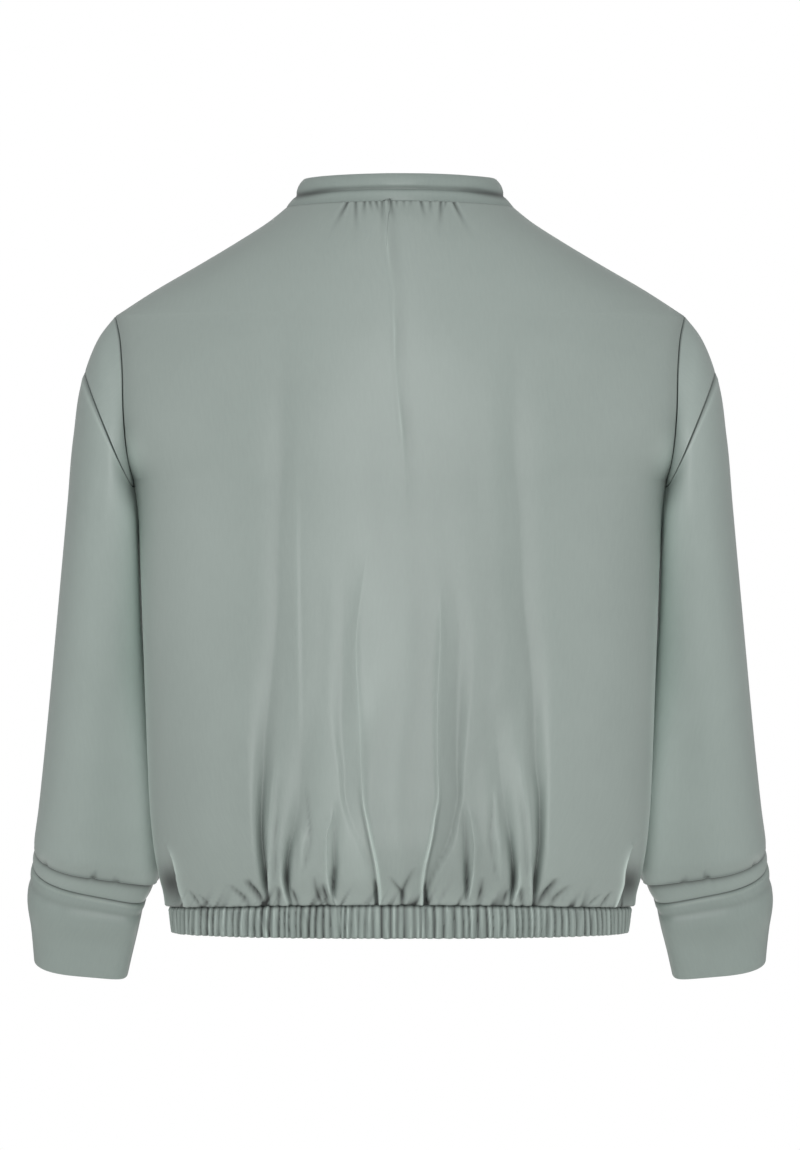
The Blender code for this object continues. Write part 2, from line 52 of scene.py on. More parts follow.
# A cubic through the knots, each knot's slope taken from its two neighbours.
def smoothThrough(knots, values, at):
    knots, values = np.asarray(knots, float), np.asarray(values, float)
    order = np.argsort(knots)
    knots, values = knots[order], values[order]
    slopes = np.gradient(values, knots, axis=0)
    first = np.clip(np.searchsorted(knots, at) - 1, 0, len(knots) - 2)
    column = (-1,) + (1,) * (values.ndim - 1)
    step = (knots[first + 1] - knots[first]).reshape(column)
    t = (np.asarray(at, float) - knots[first]).reshape(column) / step
    start = values[first] * (1 + 2 * t) * (1 - t) ** 2 + slopes[first] * step * t * (1 - t) ** 2
    end = values[first + 1] * t * t * (3 - 2 * t) + slopes[first + 1] * step * t * t * (t - 1)
    return start + end


# 0 below low, 1 above high, and an S between them.
def ramp(low, high, value):
    t = np.clip((value - low) / (high - low), 0, 1)
    return t * t * (3 - 2 * t)


# 1 between two S curves, each given by where it starts and where it ends.
def between(limits, value):
    return ramp(*limits[:2], value) * (1 - ramp(*limits[2:], value))


# 1 at the middle and falling off to both sides, exp(-|distance / width| ** sharp): 2 is round, 1.2 pressed.
def bell(distance, width, sharp=2):
    return np.exp(-np.abs(distance / width) ** sharp)


# One arch of a sine over a share that runs from 0 to 1.
def arch(share):
    return np.sin(math.pi * np.clip(share, 0, 1))


# Smooth value noise along a line: random heights every step, joined by S curves.
def lineNoise(seed, at, step):
    heights = np.random.default_rng(seed).uniform(-1, 1, 4096)
    place = np.asarray(at) / step + 1000.0
    first = np.floor(place).astype(int) % 4095
    t = place - np.floor(place)
    t = t * t * (3 - 2 * t)
    return heights[first] * (1 - t) + heights[first + 1] * t


# How far a line, or each line of a grid, has run at every point of it.
def runAlong(points, axis=0):
    steps = np.linalg.norm(np.diff(points, axis=axis), axis=-1)
    return np.insert(np.cumsum(steps, axis=axis), 0, 0.0, axis=axis)


# The values of a line at given distances along it.
def valuesAt(places, run, line):
    return np.stack([np.interp(places, run, line[:, k]) for k in range(3)], axis=-1)


# Outward unit normals of a grid whose rows run down and whose columns run from +X by way of the back.
def gridNormals(grid, closed=False):
    if closed:
        across = np.roll(grid, -1, axis=1) - np.roll(grid, 1, axis=1)
    else:
        across = np.gradient(grid, axis=1)
    return unit(np.cross(across, np.gradient(grid, axis=0)))


# The other side's grid: x turned round, and the columns reversed so that normals still point outwards.
def mirrored(grid):
    return grid[:, ::-1] * np.array((-1.0, 1.0, 1.0))


def newMesh(name, points, faces):
    mesh = bpy.data.meshes.new(name)
    mesh.from_pydata(points.reshape(-1, 3).tolist(), [], faces)
    return mesh


# Quads over a grid of points, closed round its columns or rows where asked. The UV map is the distance in
# metres along each row and down each column, so a woven pattern keeps its size on the cloth. crease, where
# given, is kept at each point as painted shade and painted highlight for the colour: -1 deep in a crease,
# 0 on open cloth and 1 on a pressed edge.
def gridMesh(name, grid, closedColumns=False, closedRows=False, extraFaces=(), crease=None):
    rows, columns = grid.shape[:2]
    wide = np.concatenate((grid, grid[:, :1]), axis=1) if closedColumns else grid
    full = np.concatenate((wide, wide[:1]), axis=0) if closedRows else wide
    u, v = runAlong(full, 1), runAlong(full, 0)
    u -= u[:, full.shape[1] // 2, None]
    r = np.arange(full.shape[0] - 1)[:, None]
    c = np.arange(full.shape[1] - 1)[None, :]
    nextRow, nextColumn = (r + 1) % rows, (c + 1) % columns
    corners = np.stack((r * columns + c, r * columns + nextColumn,
                        nextRow * columns + nextColumn, nextRow * columns + c), axis=-1)
    uv = np.stack([np.stack((u[a, b], v[a, b]), axis=-1)
                   for a, b in ((r, c), (r, c + 1), (r + 1, c + 1), (r + 1, c))], axis=2).reshape(-1, 2)
    mesh = newMesh(name, grid, corners.reshape(-1, 4).tolist() + [list(face) for face in extraFaces])
    whole = np.zeros((len(mesh.loops), 2))
    whole[:len(uv)] = uv
    mesh.uv_layers.new(name="cloth").data.foreach_set("uv", whole.ravel())
    # Painted shade and painted highlight, kept at each point for the satin's colour.
    if crease is not None:
        kept = mesh.attributes.new("crease", "FLOAT", "POINT")
        kept.data.foreach_set("value", np.clip(crease, -1, 1).astype(np.float32).ravel())
    mesh.shade_smooth()
    mesh.update()
    return mesh


# Copies of one block made of rings of points, closed by a flat face at each end. points holds each copy's
# rings one after the other; a copy marked in flipped is mirrored, so its faces turn the other way.
def blockCopies(name, points, rings, sides, flipped):
    r, k = np.arange(rings - 1)[:, None] * sides, np.arange(sides)[None, :]
    ahead = (k + 1) % sides
    walls = np.stack((r + k, r + ahead, r + sides + ahead, r + sides + k), axis=-1)
    walls = walls.reshape(-1, 4).tolist()
    faces = walls + [list(range(sides))[::-1], list(range((rings - 1) * sides, rings * sides))]
    copies = []
    for i, turned in enumerate(flipped):
        moved = [[corner + i * rings * sides for corner in face] for face in faces]
        copies += [face[::-1] for face in moved] if turned else moved
    return newMesh(name, points, copies)


# A visible piece on the jacket, named after its mesh; stands names the CAD nodes that it stands for.
def addPiece(mesh, material, stands=()):
    piece = bpy.data.objects.new(mesh.name, mesh)
    mesh.materials.append(material)
    bpy.context.scene.collection.objects.link(piece)
    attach(piece, "jacket")
    if stands:
        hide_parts(*stands)
    return piece


# A wall inside the surface, as thick as the cloth.
def thicken(piece, thickness):
    wall = piece.modifiers.new("wall", "SOLIDIFY")
    wall.thickness = thickness
    wall.offset = -1
    wall.use_rim = True


# How a rolled edge is stepped: where its extra lines lie, as shares of the radius and, where the grid is
# finer than that, of the distance to the next line.
rollSteps = {"ofRadius": (0.0, 0.06, 0.22, 0.5), "ofStep": (0.0, 0.15, 0.4, 0.7), "gap": 0.15 * mm}


# Extra grid lines beside an edge, pressed inwards on a quarter circle, so that the edge of the cloth rolls
# into its seam. axis 0 rolls the first or last row, axis 1 the first or last column.
def rollEdge(grid, normals, axis, last, radius):
    grid, normals = np.swapaxes(grid, 0, axis), np.swapaxes(normals, 0, axis)
    if last:
        grid, normals = grid[::-1], normals[::-1]
    run = np.linalg.norm(grid[1] - grid[0], axis=-1, keepdims=True)
    along = (grid[1] - grid[0]) / run
    offsets = radius * np.array(rollSteps["ofRadius"])
    drop = radius - np.sqrt(np.maximum(radius ** 2 - (radius - offsets) ** 2, 0))
    reach = np.minimum(offsets[:, None, None], run * np.array(rollSteps["ofStep"])[:, None, None])
    gap = rollSteps["gap"] * (1 - reach / radius)
    lines = grid[0] + along * (reach + gap) - normals[0] * drop[:, None, None]
    grid = np.concatenate((lines, grid[1:]))
    normals = np.concatenate((np.repeat(normals[:1], len(lines), axis=0), normals[1:]))
    if last:
        grid, normals = grid[::-1], normals[::-1]
    return np.swapaxes(grid, 0, axis), np.swapaxes(normals, 0, axis)


# An sRGB hex colour as linear RGBA.
def linear(hexColour):
    channels = [int(hexColour[i:i + 2], 16) / 255 for i in (1, 3, 5)]
    return tuple(c / 12.92 if c <= 0.04045 else ((c + 0.055) / 1.055) ** 2.4 for c in channels) + (1.0,)


# One node with its settings. Each socket is given a value, or the socket that feeds it.
def addNode(tree, kind, sockets=None, **settings):
    node = tree.nodes.new("ShaderNode" + kind)
    for key, value in settings.items():
        setattr(node, key, value)
    for key, value in (sockets or {}).items():
        if isinstance(value, bpy.types.NodeSocket):
            tree.links.new(value, node.inputs[key])
        else:
            node.inputs[key].default_value = value
    return node


def noise(tree, vector, scale, detail, roughness=0.5):
    sockets = {"Vector": vector, "Scale": scale, "Detail": detail, "Roughness": roughness}
    return addNode(tree, "TexNoise", sockets).outputs["Fac"]


def bands(tree, vector, direction, scale, distortion, **more):
    sockets = {"Vector": vector, "Scale": scale, "Distortion": distortion, **more}
    return addNode(tree, "TexWave", sockets, wave_type="BANDS", bands_direction=direction).outputs["Fac"]


def stretched(tree, vector, scale, turn=0.0):
    sockets = {"Vector": vector, "Scale": scale, "Rotation": (0, 0, turn)}
    return addNode(tree, "Mapping", sockets).outputs["Vector"]


# The value carried from one range to another.
def ranged(tree, value, low, high, start=0.0, end=1.0):
    sockets = {"Value": value, "From Min": low, "From Max": high, "To Min": start, "To Max": end}
    return addNode(tree, "MapRange", sockets).outputs["Result"]


def product(tree, first, second):
    return addNode(tree, "Math", {0: first, 1: second}, operation="MULTIPLY").outputs["Value"]


def colourMix(tree, share, first, second):
    sockets = {"Factor": share, "A": linear(first), "B": linear(second)}
    return addNode(tree, "Mix", sockets, data_type="RGBA").outputs["Result"]


def bump(tree, height, strength, distance, **more):
    sockets = {"Height": height, "Strength": strength, "Distance": distance, **more}
    return addNode(tree, "Bump", sockets).outputs["Normal"]


# A new material: makeShader is given its tree and the two texture coordinates, and returns the sockets of
# its principled shader.
def makeMaterial(name, makeShader, look):
    material = bpy.data.materials.new(name)
    material.use_nodes = True
    tree = material.node_tree
    tree.nodes.clear()
    coordinates = addNode(tree, "TexCoord").outputs
    sockets = makeShader(tree, coordinates["Object"], coordinates["UV"], look)
    shader = addNode(tree, "BsdfPrincipled", sockets)
    addNode(tree, "OutputMaterial", {"Surface": shader.outputs["BSDF"]})
    return material


satinLook = {
    "light": "#98a39e",
    "shade": "#939e99",
    "toneSize": 0.16,          # metres between lighter and darker drifts of the dye
    "threadSpacing": 0.55 * mm,  # real satin is about 0.1 mm; drawn coarser so that it shows close up
    "threadSlant": 0.35,
    "slub": (2.2 * mm, 14 * mm),
    "slubShade": (0.975, 1.02),
    "roughness": (0.36, 0.42),
    "sheen": 0.03,
    "sheenTint": "#e6efe9",
    "anisotropy": 0.55,
    "crumple": 0.35 * mm,
    "crumpleSize": 28 * mm,
    # How far the painted shade darkens the colour and how far the painted highlight lightens it.
    "creaseShade": 0.06,
    "creaseShine": 1.75,
}
# Darker and lighter copies of the same satin: painted shade on the double-layer collar, cuffs and hem band,
# and painted light on the sleeves.
bandPaintedShade = {"light": "#929e99", "shade": "#8c9893"}
sleevePaintedLight = {"light": "#9ba7a2", "shade": "#96a29d"}


# Polyester satin, woven with long floats on its face: soft broad lights, almost no visible thread, faint
# lengthwise slubs, and the slight crumple of a light cloth. The crease value kept at each point is painted
# into the colour: painted shade inside a crease and a painted highlight on a pressed edge.
def satin(tree, place, uv, look):
    slubWidth, slubLength = look["slub"]
    slubs = noise(tree, stretched(tree, uv, (1 / slubWidth, 1 / slubLength, 1.0)), 1.0, 4.0, 0.6)
    spacing = look["threadSpacing"]
    threads = stretched(tree, uv, (1 / spacing, 0.35 / spacing, 1.0), look["threadSlant"])
    weave = bands(tree, threads, "X", 0.5, 1.6, **{"Detail": 2.0, "Detail Scale": 1.5})
    drift = ranged(tree, noise(tree, place, 1 / look["toneSize"], 3.0), 0.3, 0.7)
    dye = colourMix(tree, drift, look["light"], look["shade"])
    # Painted shade and painted highlight: the crease value scales the colour down to creaseShade and up to
    # creaseShine.
    crease = addNode(tree, "Attribute", attribute_type="GEOMETRY", attribute_name="crease").outputs["Fac"]
    paintedShadeAndHighlight = product(tree, ranged(tree, crease, -1.0, 0.0, look["creaseShade"], 1.0),
                   ranged(tree, crease, 0.0, 1.0, 1.0, look["creaseShine"]))
    tint = product(tree, paintedShadeAndHighlight, ranged(tree, slubs, 0.3, 0.7, *look["slubShade"]))
    colour = addNode(tree, "HueSaturation", {"Saturation": 1.0, "Color": dye, "Value": tint})
    crumple = bump(tree, noise(tree, place, 1 / look["crumpleSize"], 2.5, 0.45), 1.0, look["crumple"])
    floats = addNode(tree, "Tangent", direction_type="UV_MAP", uv_map="cloth")
    return {"IOR": 1.5, "Anisotropic": look["anisotropy"], "Anisotropic Rotation": 0.25,
            "Sheen Weight": look["sheen"], "Sheen Roughness": 0.45, "Sheen Tint": linear(look["sheenTint"]),
            "Roughness": ranged(tree, slubs, 0.25, 0.75, *look["roughness"]),
            "Normal": bump(tree, weave, 0.35, 0.02 * mm, Normal=crumple),
            "Base Color": colour.outputs["Color"], "Tangent": floats.outputs["Tangent"]}


threadLook = {"light": "#a3aea6", "shade": "#8d9991", "twist": 0.5 * mm}


# Spun polyester sewing thread in the cloth's own colour: a soft twisted cord with a dull shine.
def sewingThread(tree, place, uv, look):
    twist = bands(tree, place, "DIAGONAL", 0.31 / look["twist"], 0.6)
    return {"Roughness": 0.55, "IOR": 1.5, "Sheen Weight": 0.1, "Normal": bump(tree, twist, 0.5, 0.06 * mm),
            "Base Color": colourMix(tree, twist, look["shade"], look["light"])}


tapeLook = {"light": "#8b9790", "shade": "#7a867f", "rib": 0.9 * mm}


# Woven polyester zip tape: a dull close herringbone with ribs along its length.
def wovenTape(tree, place, uv, look):
    ribs = bands(tree, uv, "X", 0.31 / look["rib"], 0.3)
    cross = product(tree, ribs, bands(tree, uv, "Y", 0.62 / look["rib"], 0.4))
    return {"Roughness": 0.75, "IOR": 1.5, "Sheen Weight": 0.2, "Normal": bump(tree, cross, 0.7, 0.12 * mm),
            "Base Color": colourMix(tree, cross, look["shade"], look["light"])}


metalLook = {"bright": "#b9bbb8", "dull": "#8f918f", "grain": 0.5 * mm, "wear": 6 * mm,
             "roughness": (0.38, 0.24)}
teethLight = {"bright": "#a9aba8", "dull": "#7f8280"}


# Zinc alloy with a tumbled nickel plate: soft grey reflections, fine tumbling marks, dull where handled.
def platedZinc(tree, place, uv, look):
    wear = noise(tree, place, 1 / look["wear"], 5.0, 0.6)
    grain = noise(tree, place, 1 / look["grain"], 3.0)
    return {"Metallic": 1.0, "Roughness": ranged(tree, wear, 0.3, 0.7, *look["roughness"]),
            "Normal": bump(tree, grain, 0.4, 0.02 * mm),
            "Base Color": colourMix(tree, wear, look["dull"], look["bright"])}


bodySatin = makeMaterial("sage_polyester_satin", satin, satinLook)
# The same satin again, in a darker copy with painted shade and a lighter copy with painted light.
bandSatin = makeMaterial("sage_polyester_satin_double_painted_shade", satin, dict(satinLook, **bandPaintedShade))
sleeveSatin = makeMaterial("sage_polyester_satin_sleeve_painted_light", satin, dict(satinLook, **sleevePaintedLight))
sewing = makeMaterial("polyester_sewing_thread", sewingThread, threadLook)
tapeCloth = makeMaterial("woven_polyester_zip_tape", wovenTape, tapeLook)
zipMetal = makeMaterial("nickel_plated_zinc", platedZinc, metalLook)
teethMetal = makeMaterial("nickel_plated_teeth", platedZinc, dict(metalLook, **teethLight))
print("materials made")


# Rows round the collar, the body and the hem band: height at the sides, half width, where the side, the
# back and the front lie in Y, how far the middle back rises and the middle front drops, and squareness.
bodyFields = ("z", "halfWidth", "sideY", "backY", "frontY", "backRise", "frontDrop", "squareness")
collarRows = (
    (0.0245, 0.0870, 0.000, -0.0680, 0.0600, 0.0015, 0.0395, 2.0),
    (0.0200, 0.0895, 0.000, -0.0702, 0.0622, 0.0015, 0.0400, 2.0),
    (0.0090, 0.0945, 0.000, -0.0735, 0.0671, 0.0020, 0.0400, 2.0),
    (0.0000, 0.1020, 0.000, -0.0760, 0.0720, 0.0020, 0.0420, 2.0),
)
shoulderRows = collarRows[-1:] + (
    (-0.0120, 0.1168, 0.000, -0.0880, 0.0775, 0.0010, 0.0400, 2.0),
    (-0.0300, 0.1445, 0.000, -0.0995, 0.0835, 0.0000, 0.0360, 1.95),
    (-0.0530, 0.1828, 0.000, -0.1095, 0.0890, 0.0000, 0.0300, 1.85),
    (-0.0750, 0.2205, 0.000, -0.1165, 0.0940, 0.0000, 0.0230, 1.75),
    (-0.0980, 0.2560, 0.000, -0.1215, 0.0990, 0.0000, 0.0160, 1.70),
)
lowerRows = (
    (-0.1250, 0.2560, -0.004, -0.1255, 0.1045, 0.0000, 0.0110, 1.90),
    (-0.1700, 0.2560, -0.012, -0.1295, 0.1120, 0.0000, 0.0050, 2.12),
    (-0.2460, 0.2385, -0.030, -0.1350, 0.1240, 0.0000, 0.0000, 2.3),
    (-0.2710, 0.2348, -0.034, -0.1380, 0.1280, 0.0000, 0.0000, 2.3),
    (-0.3200, 0.2322, -0.038, -0.1425, 0.1340, 0.0000, 0.0000, 2.3),
    (-0.3800, 0.2298, -0.040, -0.1465, 0.1390, 0.0000, 0.0000, 2.3),
    (-0.4400, 0.2275, -0.042, -0.1490, 0.1420, 0.0000, 0.0000, 2.3),
    (-0.5000, 0.2253, -0.042, -0.1510, 0.1430, 0.0000, 0.0000, 2.3),
    (-0.5450, 0.2230, -0.041, -0.1510, 0.1420, 0.0010, -0.0010, 2.3),
    (-0.5800, 0.2192, -0.038, -0.1490, 0.1380, 0.0030, -0.0030, 2.3),
    (-0.6050, 0.2145, -0.031, -0.1420, 0.1300, 0.0050, -0.0050, 2.3),
    (-0.6275, 0.2076, -0.024, -0.1280, 0.1180, 0.0060, -0.0060, 2.3),
)
bandRows = lowerRows[-1:] + (
    (-0.6400, 0.2055, -0.023, -0.1270, 0.1168, 0.0030, -0.0030, 2.3),
    (-0.6500, 0.2032, -0.022, -0.1240, 0.1140, 0.0000, 0.0000, 2.3),
)
# The armhole seam: its height and how far out it lies there.
armholeEdge = ((-0.0980, 0.2560), (-0.1180, 0.2508), (-0.1400, 0.2482), (-0.1900, 0.2460),
               (-0.2180, 0.2438), (-0.2310, 0.2420), (-0.2460, 0.2385))
armhole = {"top": -0.0980, "bottom": -0.2460, "back": 0.055, "front": 0.047, "point": 1.25}
armholeMiddle = (armhole["top"] + armhole["bottom"]) / 2
armholeReach = (armhole["top"] - armhole["bottom"]) / 2
torsoRows = shoulderRows + lowerRows
neckZ, hemZ = 0.0, -0.6275
zipEdge = 3.3 * mm


# The section of the torso at each height: a squared ellipse on each side of the side line, its width
# opened so that it still passes through the armhole seam where the sleeve is set in. facing is -1 for the
# back and 1 for the front.
def sectionAt(z, rows, facing):
    table = np.array(rows)
    section = dict(zip(bodyFields, smoothThrough(table[:, 0], table, z).T))
    if rows is torsoRows:
        shoulder = np.array(shoulderRows)
        above = z >= armhole["top"]
        section["halfWidth"][above] = smoothThrough(shoulder[:, 0], shoulder[:, 1], z[above])
    n = section["squareness"]
    depth = section["sideY"] - section["backY"] if facing < 0 else section["frontY"] - section["sideY"]
    lift = section["backRise"] if facing < 0 else -section["frontDrop"]
    edgeX = section["halfWidth"].copy()
    edgeDepth = np.zeros_like(z)
    inside = (z <= armhole["top"]) & (z >= armhole["bottom"])
    edge = np.array(armholeEdge)
    turn = np.arccos(np.clip((z - armholeMiddle) / armholeReach, -1, 1))
    edgeX[inside] = smoothThrough(edge[:, 0], edge[:, 1], z[inside])
    swing = armhole["back"] if facing < 0 else armhole["front"]
    edgeDepth[inside] = (swing * np.clip(np.sin(turn), 0, 1) ** armhole["point"])[inside]
    width = edgeX / (1 - (edgeDepth / depth) ** n) ** (1 / n)
    edgeAngle = np.arccos(np.clip((edgeX / width) ** (n / 2), -1, 1))
    return {"z": z, "n": n[:, None], "width": width[:, None], "depth": depth[:, None], "facing": facing,
            "sideY": section["sideY"][:, None], "lift": lift[:, None], "edgeAngle": edgeAngle}


# Points of a section at angles from the side line: x and y are powers of cosine and sine, and the middle
# of the row is lifted by the square of the sine.
def sectionPoints(section, angle):
    power = 2 / section["n"]
    cosine, sine = np.cos(angle), np.sin(angle)
    x = section["width"] * np.sign(cosine) * np.abs(cosine) ** power
    y = section["sideY"] + section["facing"] * section["depth"] * np.abs(sine) ** power
    z = section["z"][:, None] + section["lift"] * sine ** 2
    return np.stack((x, y, z), axis=-1)


# The angle from the side line at which a section reaches x, the inverse of the cosine's power.
def angleAt(section, x):
    share = np.clip(np.abs(x) / section["width"][:, 0], 0, 1) ** (section["n"][:, 0] / 2)
    return np.arccos(np.sign(x) * share)


# Straight distance in each row from a line at x = path, positive towards +X.
def rowDistance(section, points, path):
    path = path[:, None]
    n = section["n"]
    away = np.maximum(1 - np.abs(path / section["width"]) ** n, 0) ** (1 / n)
    y = section["sideY"] + section["facing"] * section["depth"] * away
    dx = points[..., 0] - path
    return np.sign(dx) * np.hypot(dx, points[..., 1] - y)


# How the columns of a panel run: how close they crowd beside each line, the row that a line's share is
# taken from, and between which heights the lines let go of their folds.
followLook = {"crowding": 0.68, "reference": -0.30, "letGo": (-0.32, -0.17)}


# Columns that follow the main folds: angles between the section's edges and the given lines, a little
# closer beside each line. Above the armhole's foot each line keeps its share of the row instead, except a
# line marked as held.
def followFolds(section, lines, counts, start, end):
    z = section["z"]
    reference = np.argmin(np.abs(z - followLook["reference"]))
    letGo = ramp(*followLook["letGo"], z)
    angles = [start]
    for line, held in lines:
        angle = angleAt(section, line(z))
        if not held:
            share = (angle[reference] - start[reference]) / (end[reference] - start[reference])
            angle = angle * (1 - letGo) + (start + share * (end - start)) * letGo
        angles.append(angle)
    angles.append(end)
    columns = [angles[0][:, None]]
    crowding = followLook["crowding"]
    for first, second, count in zip(angles[:-1], angles[1:], counts):
        t = np.arange(1, count + 1) / count
        t = (1 - crowding) * t + crowding * (0.5 - 0.5 * np.cos(math.pi * t))
        columns.append(first[:, None] + (second - first)[:, None] * t)
    return np.concatenate(columns, axis=1)


